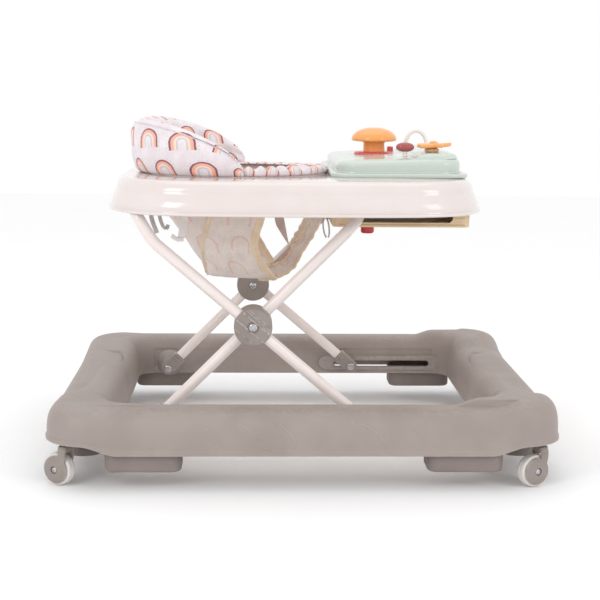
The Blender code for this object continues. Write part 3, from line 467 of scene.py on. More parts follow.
def mouldedLook(name, colour, deep, rough=0.45, grain=1800.0, bump=0.00006, drift=0.5, wear=0.2, dust=0.1,
                coat=0.0, metallic=0.0):
    look, bench, shader = startLook(name)
    group = bench.add("ShaderNodeGroup", node_tree=mouldedSurface)
    values = {"Colour": tint(colour), "Deep colour": tint(deep), "Roughness": rough, "Grain scale": grain,
              "Drift": drift, "Edge wear": wear, "Dust": dust}
    for key, value in values.items():
        group.inputs[key].default_value = value
    bench.feed(shader.inputs["Base Color"], group.outputs["Colour"])
    bench.feed(shader.inputs["Roughness"], group.outputs["Roughness"])
    shader.inputs["Metallic"].default_value = metallic
    shader.inputs["Coat Weight"].default_value = coat
    shader.inputs["Coat Roughness"].default_value = 0.06
    bumpInto(bench, shader, group.outputs["Height"], bump)
    return look


def clothLook(name, ground, shade, threads, printed=0.0, rough=0.85, sheen=0.25, bump=0.00012, see=0.0):
    look, bench, shader = startLook(name)
    weave = bench.add("ShaderNodeGroup", node_tree=plainWeave)
    weave.inputs[0].default_value = threads
    colour = bench.mix(bench.span(weave.outputs["Shade"], 0.3, 0.7), tint(ground), tint(shade))
    if printed:
        arches = bench.add("ShaderNodeGroup", node_tree=archPrint)
        bench.feed(arches.inputs["Ground"], colour)
        colour = bench.mix(printed, colour, arches.outputs["Colour"])
    bench.feed(shader.inputs["Base Color"], colour)
    rougher = bench.plus(rough, bench.times(weave.outputs["Shade"], 0.1))
    bench.feed(shader.inputs["Roughness"], rougher)
    shader.inputs["Sheen Weight"].default_value = sheen
    shader.inputs["Sheen Roughness"].default_value = 0.5
    if see:
        shader.inputs["Subsurface Weight"].default_value = see
        shader.inputs["Subsurface Radius"].default_value = (0.010, 0.008, 0.006)
        shader.inputs["Subsurface Scale"].default_value = 0.5
    bumpInto(bench, shader, weave.outputs["Height"], bump)
    return look


looks = {"taupe": mouldedLook("taupeShell", "#a0948e", "#91857f", rough=0.52, grain=1500, bump=0.00010,
                              wear=0.10, dust=0.10), "darkTaupe": mouldedLook("padRubber", "#8b807b",
                                                                              "#7b706b", rough=0.72,
                                                                              grain=900, bump=0.00014,
                                                                              wear=0.15),
         "hub": mouldedLook("hubPlastic", "#958a84", "#80756f", rough=0.45, grain=2200, wear=0.35,
                            dust=0.05), "tyre": mouldedLook("paleTyre", "#ddd8d3", "#c9c2bc", rough=0.55,
                                                            grain=1200, wear=0.0, dust=0.0),
         "cream": mouldedLook("creamGloss", "#dfd5d2", "#d8ccc8", rough=0.16, grain=2600, bump=0.000008,
                              drift=0.5, wear=0.0, dust=0.02, coat=0.6),
         "enamel": mouldedLook("tubeEnamel", "#ebe0dc", "#e2d4cf", rough=0.22, grain=2400, bump=0.000015,
                               drift=0.4, wear=0.1, dust=0.02, coat=0.5),
         "steel": mouldedLook("platedSteel", "#c9c9cc", "#a9a9ae", rough=0.20, grain=3000, bump=0.00001,
                              wear=0.0, dust=0.0, metallic=1.0),
         # channel plastic: the ivory made darker and more tan as painted shade for the shadow under the tray
         "shadedIvory": mouldedLook("channelPlasticPaintedShade", "#e0c8a4", "#d0b086", rough=0.45, grain=1700, wear=0.0,
                                 dust=0.0), "ivory": mouldedLook("ivoryPlastic", "#e9dfcb", "#dccfb6",
                                                                 rough=0.42, grain=1700, wear=0.1,
                                                                 dust=0.05),
         "mint": mouldedLook("mintPlastic", "#c6d0c7", "#bcc8bd", rough=0.22, grain=2300, bump=0.00002,
                             wear=0.1, dust=0.03, coat=0.35),
         "orange": mouldedLook("orangePlastic", "#f7ab62", "#f0994b", rough=0.28, grain=2300, bump=0.00002,
                               wear=0.1, dust=0.02, coat=0.3),
         "brick": mouldedLook("brickPlastic", "#ad5250", "#963f3f", rough=0.28, grain=2300, bump=0.00002,
                              wear=0.1, dust=0.02, coat=0.3),
         "red": mouldedLook("redPlastic", "#dc5a5c", "#c84648", rough=0.30, grain=2300, bump=0.00002,
                            wear=0.1, dust=0.0, coat=0.2),
         "deepRed": mouldedLook("deepRedPlastic", "#c01a22", "#a51219", rough=0.30, grain=2300, bump=0.00002,
                                wear=0.1, dust=0.0, coat=0.2),
         "white": mouldedLook("whitePlastic", "#f1ece8", "#e5ddd8", rough=0.28, grain=2300, bump=0.00002,
                              wear=0.0, dust=0.0, coat=0.2),
         "tan": mouldedLook("tanPlastic", "#e8c09a", "#dba97c", rough=0.40, grain=1800, wear=0.1, dust=0.0),
         "print": clothLook("archCloth", "#ebe4e7", "#ddd3d8", 1500.0, printed=1.0, sheen=0.2),
         "sling": clothLook("slingCloth", "#e2d8d3", "#d2c5bf", 1500.0, printed=0.22, sheen=0.15, see=0.3),
         "welt": clothLook("paleWelt", "#ddd4d8", "#cfc5ca", 1500.0),
         "piping": clothLook("tanPiping", "#ead6bd", "#dcc3a5", 1200.0, sheen=0.1),
         "webbing": clothLook("greyWebbing", "#c3bfbd", "#b1acaa", 900.0, bump=0.0003),
         "whiteWebbing": clothLook("paleWebbing", "#f3eeec", "#e8e1de", 900.0, bump=0.0003),
         "mauveWebbing": clothLook("mauveWebbing", "#c8b4ab", "#b8a198", 900.0, bump=0.0003),
         "seam": clothLook("seamThread", "#8a7f80", "#6f6566", 2500.0), }
print("materials made:", len(looks))


baseRing = {"sideWidth": 0.072, "crossWidth": 0.088, "height": 0.0595, "outerCorner": 0.062,
            "innerCorner": 0.030, "cornerLift": 0.0125, "frontHump": 0.010, "rearHump": 0.0015,
            "wall": 0.003, "square": 3.4, "beadOut": 0.0016, "beadTall": 0.0062, "waist": 0.014,
            "dish": 0.007, "panelSink": 0.0016}


def railSection(count, inset):
    # superellipse |a|^n + |h|^n = 1 from the outer rim over the top to the inner rim, evenly spaced
    # along its length
    turn = np.linspace(0, math.pi, 1200)
    power = 2 / baseRing["square"]
    across = np.sign(np.cos(turn)) * np.abs(np.cos(turn)) ** power
    height = np.abs(np.sin(turn)) ** power
    length = np.concatenate([[0], np.cumsum(np.hypot(np.diff(across) * 0.036, np.diff(height) * 0.06))])
    even = np.linspace(0, length[-1], count)
    half = baseRing["sideWidth"] / 2 - inset
    return np.interp(even, length, across) * half, np.interp(even, length, height)


def baseSkin(inset, count):
    # rail section carried round the base between its outer and inner outlines: place = outline -+ n
    # (half - a),
    # z = rim + h (top - inset - rim), with corner humps; an inset gives the plain inner skin
    low, high = boxSize("base_ring")
    b = baseRing
    halfL, halfW = high[0], high[1]
    outer, outN = roundedLoop(-halfL, halfL, halfW, b["outerCorner"], b["outerCorner"], 150, 26)
    inner, inN = roundedLoop(b["crossWidth"] - halfL, halfL - b["crossWidth"], halfW - b["sideWidth"],
                             b["innerCorner"], b["innerCorner"], 150, 26)
    corner = smoothStep((abs(outer[:, 0]) - (halfL - 0.10)) / 0.05)
    corner = corner * smoothStep((abs(outer[:, 1]) - (halfW - 0.12)) / 0.05)
    hump = np.where(outer[:, 0] > 0, b["frontHump"], b["rearHump"]) * corner
    across, height = railSection(count, inset)
    half = b["sideWidth"] / 2
    isOuter = (across > 0)[None, :, None]
    place = np.where(isOuter, outer[:, None] - outN[:, None] * (half - across)[None, :, None],
                     inner[:, None] + inN[:, None] * (half + across)[None, :, None])
    push = np.where(isOuter, outN[:, None], -inN[:, None])
    rim = low[2] + np.where(across > 0, 1.0, 0.0)[None] * (b["cornerLift"] * corner)[:, None]
    top = low[2] + b["height"] + hump[:, None]
    z = rim + height[None] * (top - inset - rim)
    if inset:
        return np.concatenate([place, z[..., None]], axis=-1)
    # rolled bead along both rims
    bead = b["beadOut"] * (1 - smoothStep((z - rim - b["beadTall"] + 0.001) / 0.0012))
    # the front and rear rails are rounded off outside between the corners, and dished on top
    onCross = 1 - smoothStep((abs(place[..., 1]) - 0.105) / 0.085)
    onCross = onCross * smoothStep((abs(place[..., 0]) - (halfL - b["crossWidth"] - 0.012)) / 0.02)
    outside = smoothStep((abs(place[..., 0]) - (halfL - 0.060)) / 0.055)
    z = z - b["waist"] * onCross * outside * smoothStep((height[None] - 0.5) / 0.5)
    # a shield-shaped dish on each cross rail, with a crisp rim
    ahead = (abs(place[..., 0]) - (halfL - 0.046)) / 0.030
    isFront = place[..., 0] > 0
    away = (place[..., 1] - np.where(isFront, 0.030, 0.060)) / np.where(isFront, 0.085, 0.060)
    shield = 1 - np.abs(ahead) ** 2.4 - np.abs(away + 0.25 * ahead) ** 2.4
    onTop = onCross ** 0.3 * (height[None] > 0.6)
    z = z - b["dish"] * smoothStep(shield / 0.22) * onTop
    # sunk panels on the side rails' inner faces
    rise = (z - low[2]) / b["height"]
    panel = smoothStep((rise - 0.16) / 0.05) * (1 - smoothStep((rise - 0.66) / 0.05)) * (across < 0)[None]
    reach = smoothStep((place[..., 0] + 0.262) / 0.006) * (1 - smoothStep((place[..., 0] - 0.262) / 0.006))
    sunk = b["panelSink"] * panel * reach * (abs(push[..., 1]) > 0.99)
    place = place + push * (bead - sunk)[..., None]
    return np.concatenate([place, z[..., None]], axis=-1)


def buildBase():
    # outer skin, inner skin and the lower edge between them as one closed ring, then the slots are cut
    outerSkin = baseSkin(0.0, 84)
    innerSkin = baseSkin(baseRing["wall"], 24)
    around = np.concatenate([outerSkin, innerSkin[:, ::-1], outerSkin[:, :1]], axis=1)
    ring = makePiece("base_shell", gridShape(around, wrap=True), looks["taupe"], "base",
                     ["base_ring"])
    cutSlots(ring)
    return outerSkin


footSlot = {"height": 0.010, "endRadius": 0.0072, "plateOut": 0.0018, "plateTall": 0.024}


def stadium(x0, x1, z, radius, steps=10):
    # two half circles joined by straight runs, in the side plane
    turn = np.radians(np.linspace(-90, 90, steps + 1))
    right = np.stack([x1 + radius * np.cos(turn), z + radius * np.sin(turn)], axis=-1)
    left = np.stack([x0 - radius * np.cos(turn), z - radius * np.sin(turn)], axis=-1)
    return np.concatenate([right, left])


def slotPlace():
    # the foot slot's two ends along X and its height, from the foot pin at rest
    low, high = boxSize("foot_pin_front_near")
    middle = (low + high) / 2
    return middle[0] - 0.023, middle[0] + 0.130, middle[2]


def hiddenTool(name, shape):
    # a cutter that never renders
    tool = makePiece(name, shape, looks["taupe"], "base")
    tool.hide_render = True
    tool.hide_viewport = True
    tool.display_type = "WIRE"
    return tool


def applyTools(piece, tools):
    # cut the tools away exactly, keep the result and drop the tools
    for tool in tools:
        step = piece.modifiers.new("cut", "BOOLEAN")
        step.operation = "DIFFERENCE"
        step.solver = "EXACT"
        step.object = tool
    graph = bpy.context.evaluated_depsgraph_get()
    cut = bpy.data.meshes.new_from_object(piece.evaluated_get(graph))
    piece.modifiers.clear()
    piece.data = cut
    cut.shade_smooth()
    cut.set_sharp_from_angle(angle=math.radians(38))
    for tool in tools:
        bpy.data.objects.remove(tool)


def cutSlots(ring):
    # slot, keyhole at its front end and rear pivot bore through each side rail's inner wall
    x0, x1, z = slotPlace()
    innerY = boxSize("base_ring")[1][1] - baseRing["sideWidth"]
    tools = []
    for word, side in sides:
        spans = sorted((side * (innerY - 0.010), side * (innerY + 0.014)))
        slot = slabShape(stadium(x0, x1, z, footSlot["height"] / 2), *spans, 0.0001, "XZ", 1)
        keyhole = slabShape(stadium(x1, x1 + 0.0005, z + 0.0015, footSlot["endRadius"]), *spans, 0.0001,
                            "XZ", 1)
        rear = latheShape([(0, -0.011), (0.0064, -0.011), (0.0064, 0.013), (0, 0.013)],
                          (boxSize("foot_pin_rear_near")[0][0] + 0.0072, side * innerY, z), (0, side, 0), 24)
        tools += [hiddenTool(f"slot_tool_{word}", slot), hiddenTool(f"key_tool_{word}", keyhole),
                  hiddenTool(f"bore_tool_{word}", rear)]
    applyTools(ring, tools)


def plateShape(outer, inner, low, high, round=0.0008):
    # a flat ring: its section is a rounded rectangle carried from the outer outline to the inner one
    turn = np.linspace(0, math.pi / 2, 4)
    outN = outlineNormals(outer)
    inN = -outlineNormals(inner)
    inset = round * (1 - np.sin(turn))
    drop = round * (1 - np.cos(turn))
    flat = np.concatenate([outer[None], outer - outN * inset[:, None, None],
                           inner - inN * inset[::-1, None, None], inner[None]])
    level = np.concatenate([[low], high - drop, high - drop[::-1], [low]])
    grid = np.concatenate([flat, np.broadcast_to(level[:, None, None], flat[..., :1].shape)], axis=-1)
    grid = np.concatenate([grid, grid[:, :1]], axis=1)
    return gridShape(grid[..., (0, 2, 1)], wrap=True)


swooshes = [[(-0.131, 0.086), (-0.120, 0.070), (-0.114, 0.0555)],
            [(-0.092, 0.094), (-0.068, 0.078), (-0.0486, 0.0575), (-0.0125, 0.0560)],
            [(-0.046, 0.095), (-0.028, 0.086), (-0.015, 0.070), (-0.011, 0.0555)],
            [(0.061, 0.095), (0.085, 0.086), (0.103, 0.070), (0.111, 0.0555)]]


def buildBaseTrim(outerSkin):
    # swooshes: curves in x and z laid on the outer face at y(z), as half-sunk ovals that taper at both ends;
    # then the slots' plates, the pivot bosses and the caster sockets
    low, high = boxSize("base_ring")
    innerY = high[1] - baseRing["sideWidth"]
    x0, x1, z = slotPlace()
    # outer face as a curve y(z) at the middle of a side rail, which the swooshes lie on
    column = outerSkin[np.argmin(np.abs(outerSkin[:, 0, 0]) + (outerSkin[:, 0, 1] > 0) * 9)]
    rising = column[column[:, 1] < column[:, 1].min() + 0.034]
    order = np.argsort(rising[:, 2])
    for word, side in sides:
        ridges = []
        for corners in swooshes:
            flat = smoothPath([(x, 0, height) for x, height in corners], 26)
            flat[:, 1] = -side * np.interp(flat[:, 2], rising[order, 2], rising[order, 1])
            taper = np.sin(np.linspace(0.12, math.pi - 0.12, len(flat))) ** 0.4
            ridges.append(sweepShape(flat, circleSection(1.0, 8) * (0.0017, 0.0009), (1, 0, 0.4),
                                     swell=taper))
        makePiece(f"rail_swooshes_{word}", joinShapes(*ridges), looks["taupe"], "base")
        face = sorted((side * (innerY + 0.002), side * (innerY - footSlot["plateOut"])), reverse=side > 0)
        plate = plateShape(stadium(x0 - 0.018, x1 + 0.016, z + 0.001, footSlot["plateTall"] / 2),
                           stadium(x0, x1, z, footSlot["height"] / 2 + 0.0004), *face)
        makePiece(f"slot_plate_{word}", plate, looks["taupe"], "base")
        pin = (boxSize(f"foot_pin_rear_{word}")[0] + boxSize(f"foot_pin_rear_{word}")[1]) / 2
        legFace = abs(boxSize(f"foot_cap_rear_{word}")[side > 0 and 1 or 0][1]) + 0.002
        deep = innerY + 0.004 - legFace
        boss = [(0.0040, 0), (0.0105, 0), (0.0115, 0.0010), (0.0122, deep * 0.55), (0.0215, deep - 0.0048),
                (0.0225, deep), (0.0040, deep), (0.0040, 0)]
        boss = latheShape(boss, (pin[0], side * legFace, pin[2]), (0, side, 0), 56)
        makePiece(f"pivot_boss_{word}", boss, looks["taupe"], "base")
        for endWord, end in ends:
            x, y = end * (high[0] - 0.029), side * (high[1] - 0.030)
            socket = [(0.0054, 0), (0.0085, 0), (0.0098, 0.0012), (0.0100, 0.034), (0.0054, 0.034),
                      (0.0054, 0)]
            socket = latheShape(socket, (x, y, low[2] + 0.0135), (0, 0, 1), 36)
            makePiece(f"stem_socket_{endWord}_{word}", socket, looks["taupe"], "base")


brakePad = {"radius": 0.014, "round": 0.0045}


def buildPads():
    # pads under the rails: a rounded slab with ribs across its sole
    for endWord, _ in ends:
        for word, _ in sides:
            for kind, radius in (("brake_pad", brakePad["radius"]), ("cross_pad", 0.026)):
                node = f"{kind}_{endWord}_{word}"
                low, high = boxSize(node)
                outline = roundedOutline(low[0], high[0], low[1], high[1], radius, 10)
                block = slabShape(outline, low[2], high[2], brakePad["round"], steps=6)
                # shallow ribs across the sole, where the pad grips a step
                ribs = []
                for x in np.linspace(low[0] + 0.016, high[0] - 0.016, 7 if kind == "brake_pad" else 3):
                    path = [(x, low[1] + 0.012, low[2] + 0.0002), (x, high[1] - 0.012, low[2] + 0.0002)]
                    ribs.append(sweepShape(path, circleSection(0.0014, 8), (1, 0, 0)))
                makePiece(f"{node}_block", joinShapes(block, *ribs), looks["darkTaupe"], "base",
                          [node])


caster = {"wheelRadius": 0.0225, "wheelWidth": 0.014, "cheekRadius": 0.0189, "dome": 0.0042}


def buildCasters():
    # tyre and cheeks are turned profiles about the axle (cheek height = dome sin(acos(r / cheek radius)));
    # arms, crown and stem join them to the swivel
    for endWord, _ in ends:
        for word, _ in sides:
            name = f"{endWord}_{word}"
            joint = next(j for j in frame["joints"] if j["name"] == f"roll_{name}")
            swivel = next(j for j in frame["joints"] if j["name"] == f"swivel_{name}")
            hub, axis = np.array(joint["pos_m"]), unit(np.array(joint["axis"], float))
            stem = np.array([swivel["pos_m"][0], swivel["pos_m"][1], hub[2]])
            trail = unit(hub - stem)
            c = caster
            r, w = c["wheelRadius"], c["wheelWidth"] / 2
            tread = [(0, -w + 0.0006), (0.0150, -w + 0.0006), (0.0165, -w), (r - 0.0024, -w),
                     (r - 0.0008, -w + 0.0009), (r - 0.0001, -w + 0.0026), (r, -0.0016),
                     (r - 0.0006, -0.0010), (r - 0.0006, 0.0010), (r, 0.0016), (r - 0.0001, w - 0.0026),
                     (r - 0.0008, w - 0.0009), (r - 0.0024, w), (0.0165, w), (0.0150, w - 0.0006),
                     (0, w - 0.0006)]
            makePiece(f"tyre_{name}", latheShape(tread, hub, axis, 72), looks["tyre"], f"wheel_{name}",
                      [f"caster_wheel_{name}"])
            parts = []
            for way in (-1, 1):
                face = w + 0.0008
                cheek = [(0, 0), (c["cheekRadius"] - 0.0008, 0), (c["cheekRadius"], 0.0008)]
                t = np.linspace(0, 1, 12)
                rim = c["cheekRadius"] * (1 - t) + 0.0056 * t
                swell = np.sin(np.arccos(np.clip(rim / c["cheekRadius"], 0, 1)))
                cheek += list(zip(rim, 0.0012 + c["dome"] * swell))
                cheek += [(0.0052, c["dome"] * 0.85), (0.0050, 0.0026), (0, 0.0026)]
                parts.append(latheShape(cheek, hub + axis * way * face, axis * way, 56))
                # the arm that joins the cheek to the crown
                root = stem + axis * way * (face + 0.0016)
                arm = [root + np.array([0, 0, 0.0285]), root + np.array([0, 0, 0.018]),
                       root + trail * 0.003 + np.array([0, 0, 0.006])]
                parts.append(sweepShape(smoothPath(arm, 14), bandSection(0.0125, 0.0032), trail))
            high = boxSize(f"caster_fork_{name}")[1][2]
            crownLow = 2 * r + 0.0014
            outline = roundedOutline(-0.0068, 0.0068, -(w + 0.0038), w + 0.0038, 0.0045, 8)
            turn = np.array([[trail[0], axis[0]], [trail[1], axis[1]]])
            crown = slabShape((outline @ turn.T) + stem[:2], crownLow, crownLow + 0.0095, 0.0022, steps=6)
            collar = [(0, 0), (0.0074, 0), (0.0078, 0.0008), (0.0064, 0.0030), (0.0050, 0.0036),
                      (0.0050, high - 0.0565), (0.0042, high - 0.0555), (0, high - 0.0555)]
            stemShape = latheShape(collar, (stem[0], stem[1], crownLow + 0.0086), (0, 0, 1), 32)
            makePiece(f"fork_{name}", joinShapes(*parts, crown, stemShape), looks["hub"], f"caster_{name}",
                      [f"caster_fork_{name}"])
            heads = [screwShape(hub + axis * way * (w + 0.0034), axis * way, 0.0040, 0.0021) for way in (-1,
                                                                                                         1)]
            shank = latheShape([(0, -0.010), (0.0024, -0.010), (0.0024, 0.010), (0, 0.010)], hub, axis, 20)
            makePiece(f"axle_screw_{name}", joinShapes(*heads, shank), looks["steel"], f"caster_{name}",
                      [f"caster_screw_{name}"])


def screwShape(centre, axis, radius, tall, steps=56):
    # a domed head with a cross recess: height = dome(r) - recess where |x| or |y| is under a blade's
    # half width
    axis = unit(np.array(axis, float))
    side = unit(np.cross(axis, (0.31, 0.2, 0.93)))
    other = np.cross(axis, side)
    ring = np.concatenate([np.linspace(0, 0.96, 13), [1.0, 1.0]])
    turn = np.linspace(0, math.tau, steps + 1)
    x, y = ring[:, None] * np.cos(turn) * radius, ring[:, None] * np.sin(turn) * radius
    height = tall * (0.45 + 0.55 * np.sqrt(np.clip(1 - ring ** 2, 0, 1)))[:, None] + 0 * x
    blade = 0.17 * radius
    tip = 0.62 * radius
    cross = ((np.abs(x) < blade) & (np.abs(y) < tip)) | ((np.abs(y) < blade) & (np.abs(x) < tip))
    height = np.where(cross, height - 0.42 * tall, height)
    height[-1] = 0.0
    points = np.array(centre) + x[..., None] * side + y[..., None] * other + height[..., None] * axis
    points = np.concatenate([points, np.broadcast_to(np.array(centre), points[:1].shape)])
    return gridShape(points)


legs = {"radius": 0.008, "kneeFillet": 0.060, "topFillet": 0.030, "innerFillet": 0.035,
        "knee": (-0.2066, 0.3242)}


def jointPlace(name):
    # a joint's place at rest
    return np.array(next(j for j in frame["joints"] if j["name"] == name)["pos_m"], float)


def pinPlace(name):
    # the middle of a pin's box
    low, high = boxSize(name)
    return (low + high) / 2


def buildLegs():
    # two tubes: straight runs in the leg's own plane joined by arcs, with a round section
    rear, hub, tray = jointPlace("fold"), jointPlace("cross"), jointPlace("tray_level")
    _, high = boxSize("inner_leg_frame")
    innerY = high[1] - legs["radius"]
    rise = unit(hub - rear)
    bar = rear + rise * ((high[0] - legs["radius"] - rear[0]) / rise[0])
    corners = [rear + rise * 0.012 + (0, -innerY, 0), bar + (0, -innerY, 0), bar + (0, innerY, 0),
               rear + rise * 0.012 + (0, innerY, 0)]
    path = filletPath(corners, [legs["innerFillet"]] * 2, 16)
    makePiece("inner_leg_tube", sweepShape(path, circleSection(legs["radius"], 32),
                                           np.cross(rise, (0, 1, 0))), looks["enamel"], "inner_frame",
              ["inner_leg_frame"])
    outerY = boxSize("outer_leg_frame")[1][1] - legs["radius"]
    foot = pinPlace("foot_pin_front_near")
    foot[1] = 0
    fall = unit(foot - hub)
    start = foot - fall * 0.012
    knee = np.array([legs["knee"][0], 0, legs["knee"][1]])
    corners = [start + (0, -outerY, 0), knee + (0, -outerY, 0), tray + (0, -outerY, 0),
               tray + (0, outerY, 0), knee + (0, outerY, 0), start + (0, outerY, 0)]
    fillets = [legs["kneeFillet"], legs["topFillet"], legs["topFillet"], legs["kneeFillet"]]
    path = filletPath(corners, fillets, 14)
    makePiece("outer_leg_tube", sweepShape(path, circleSection(legs["radius"], 32), (0.7, 0, 0.7)),
              looks["enamel"], "outer_frame", ["outer_leg_frame"])
    return rise, fall


hubDisc = {"radius": 0.0265, "round": 0.0022, "ridge": 0.0009, "bandHalf": 0.0068}


def buildHubs(rise, fall):
    # a turned disc with rounded edges; ribs are chords at an offset from the middle, half length
    # sqrt(r^2 - offset^2)
    centre = jointPlace("cross")
    for word, side in sides:
        for which, body, heading in (("outer", "outer_frame", fall), ("inner", "inner_frame", rise)):
            low, high = boxSize(f"hub_{which}_{word}")
            face = high[1] if side > 0 else low[1]
            back = low[1] if side > 0 else high[1]
            r, k = hubDisc["radius"], hubDisc["round"]
            turn = np.linspace(0, math.pi / 2, 7)
            thick = abs(face - back)
            edge = [(r - k * (1 - math.sin(t)), k * (1 - math.cos(t))) for t in turn]
            edge += [(r - k * (1 - math.cos(t)), thick - k * (1 - math.sin(t))) for t in turn]
            profile = [(0, 0)] + edge + [(0.0085, thick), (0.0078, thick - 0.0010), (0, thick - 0.0010)]
            parts = [latheShape(profile, (centre[0], back, centre[2]), (0, side, 0), 80)]
            # raised ribs along the tube: two bright edges of its band and finer lines beside them
            across = np.cross(heading, (0, side, 0))
            for offset, wide in ((-0.0150, 0.0007), (-0.0120, 0.0007), (-0.0090, 0.0006),
                                 (-hubDisc["bandHalf"], 0.0010), (hubDisc["bandHalf"], 0.0010),
                                 (0.0178, 0.0006)):
                chord = math.sqrt((r - 0.0016) ** 2 - offset ** 2)
                inner = 0.0092 if abs(offset) < 0.0092 else 0.0
                middle = np.array([centre[0], face, centre[2]]) + across * offset
                spans = [(-chord, -inner), (inner, chord)] if inner else [(-chord, chord)]
                if abs(offset) <= hubDisc["bandHalf"]:
                    spans = [(-chord, chord)]
                for a, b in spans:
                    line = [middle + heading * a, middle + heading * (a + b) / 2, middle + heading * b]
                    parts.append(sweepShape(line, circleSection(1.0, 10) * (wide, hubDisc["ridge"]), across))
            makePiece(f"hub_cover_{which}_{word}", joinShapes(*parts), looks["hub"], body,
                      [f"hub_{which}_{word}"])
        low, high = boxSize(f"hub_bolt_{word}")
        tip, root = (high[1], low[1]) if side > 0 else (low[1], high[1])
        heads = [screwShape((centre[0], tip - side * 0.0034, centre[2]), (0, side, 0), 0.0058, 0.0032),
                 screwShape((centre[0], root + side * 0.0034, centre[2]), (0, -side, 0), 0.0058, 0.0032)]
        shank = latheShape([(0, 0), (0.0029, 0), (0.0029, abs(tip - root) - 0.006),
                            (0, abs(tip - root) - 0.006)], (centre[0], root + side * 0.003, centre[2]),
                           (0, side, 0), 20)
        makePiece(f"hub_screw_{word}", joinShapes(*heads, shank), looks["steel"], "outer_frame",
                  [f"hub_bolt_{word}"])


footCap = {"half": 0.0105, "length": 0.030, "round": 0.0022}


def buildFeet(rise, fall):
    # a boot along the leg: half circle round the pin and a flatter arc at its upper end
    for word, _ in sides:
        for endWord, body, heading in (("rear", "inner_frame", rise), ("front", "outer_frame", -fall)):
            low, high = boxSize(f"foot_cap_{endWord}_{word}")
            pin = pinPlace(f"foot_pin_{endWord}_{word}")
            ahead = heading[[0, 2]]
            across = np.array([-ahead[1], ahead[0]])
            turn = np.radians(np.linspace(90, 270, 17))
            nose = footCap["half"] * (np.cos(turn)[:, None] * ahead + np.sin(turn)[:, None] * across)
            tail = np.radians(np.linspace(-80, 80, 9))
            end = footCap["length"] * ahead
            tailLoop = end - 0.004 * ahead + 0.004 * np.cos(tail)[:, None] * ahead
            tailHalf = footCap["half"] / math.sin(math.radians(80))
            tailLoop = tailLoop + np.sin(tail)[:, None] * across * tailHalf
            outline = pin[[0, 2]] + np.concatenate([nose, tailLoop])
            cap = slabShape(outline, low[1], high[1], footCap["round"], "XZ", 6)
            # two moulded rings where the cap grips the tube
            rings = []
            for reach in (0.0225, 0.0265):
                spot = pin + heading * reach
                spot[1] = (low[1] + high[1]) / 2
                rings.append(latheShape([(0.0102, -0.0008), (0.0113, -0.0004), (0.0113, 0.0004),
                                         (0.0102, 0.0008), (0.0102, -0.0008)], spot, heading, 40))
            makePiece(f"foot_boot_{endWord}_{word}", joinShapes(cap, *rings), looks["hub"], body,
                      [f"foot_cap_{endWord}_{word}"])
            pinLow, pinHigh = boxSize(f"foot_pin_{endWord}_{word}")
            heads = [screwShape((pin[0], pinLow[1] + 0.0016, pin[2]), (0, -1, 0), 0.0060, 0.0018),
                     screwShape((pin[0], pinHigh[1] - 0.0016, pin[2]), (0, 1, 0), 0.0066, 0.0018)]
            shank = latheShape([(0, 0), (0.0034, 0), (0.0034, pinHigh[1] - pinLow[1] - 0.003),
                                (0, pinHigh[1] - pinLow[1] - 0.003)], (pin[0], pinLow[1] + 0.0015, pin[2]),
                               (0, 1, 0), 24)
            makePiece(f"foot_rivet_{endWord}_{word}", joinShapes(*heads, shank), looks["steel"], body,
                      [f"foot_pin_{endWord}_{word}"])


outerSkin = buildBase()
buildBaseTrim(outerSkin)
buildPads()
buildCasters()
rise, fall = buildLegs()
buildHubs(rise, fall)
buildFeet(rise, fall)
print("base, casters and legs built")


tray = {"rearIn": 0.0032, "frontIn": 0.0012, "middle": -0.010, "rearPower": 4.0, "frontPower": 4.4,
        "lean": 0.010, "topRound": 0.016, "edgeRound": 0.008, "edgeDrop": 0.026, "wall": 0.003,
        "lipTall": 0.0042, "lipOut": 0.0012, "bulge": 0.0022, "crown": 0.0012}
seatHole = {"rearIn": 0.062, "length": 0.248, "halfWidth": 0.155, "corner": 0.110}


def trayLoops(count=300):
    # the bulging outer outline and the seat opening's outline, paired along rays from the opening's middle
    low, high = boxSize("tray_shell")
    turn = np.linspace(0, math.tau, 2401)[:-1]
    cos, sin = np.cos(turn), np.sin(turn)
    power = np.where(cos < 0, tray["rearPower"], tray["frontPower"])
    reach = np.where(cos < 0, tray["middle"] - low[0] - tray["rearIn"],
                     high[0] - tray["frontIn"] - tray["middle"])
    outer = np.stack([tray["middle"] + reach * np.sign(cos) * np.abs(cos) ** (2 / power),
                      high[1] * np.sign(sin) * np.abs(sin) ** (2 / power)], axis=-1)
    rearX = low[0] + seatHole["rearIn"]
    inner, _ = roundedLoop(rearX, rearX + seatHole["length"], seatHole["halfWidth"], seatHole["corner"],
                           seatHole["corner"], 60, 60)
    centre = np.array([rearX + seatHole["length"] / 2, 0.0])
    rays = np.linspace(-math.pi, math.pi, count + 1)[:-1]
    loops = []
    for loop in (outer, inner):
        away = loop - centre
        angle = np.arctan2(away[:, 1], away[:, 0])
        order = np.argsort(angle)
        far = np.interp(rays, angle[order], np.hypot(away[:, 0], away[:, 1])[order], period=math.tau)
        ring = centre + far[:, None] * np.stack([np.cos(rays), np.sin(rays)], axis=-1)
        along = np.roll(ring, -1, axis=0) - np.roll(ring, 1, axis=0)
        loops += [ring, unit(np.stack([along[:, 1], -along[:, 0]], axis=-1))]
    return loops


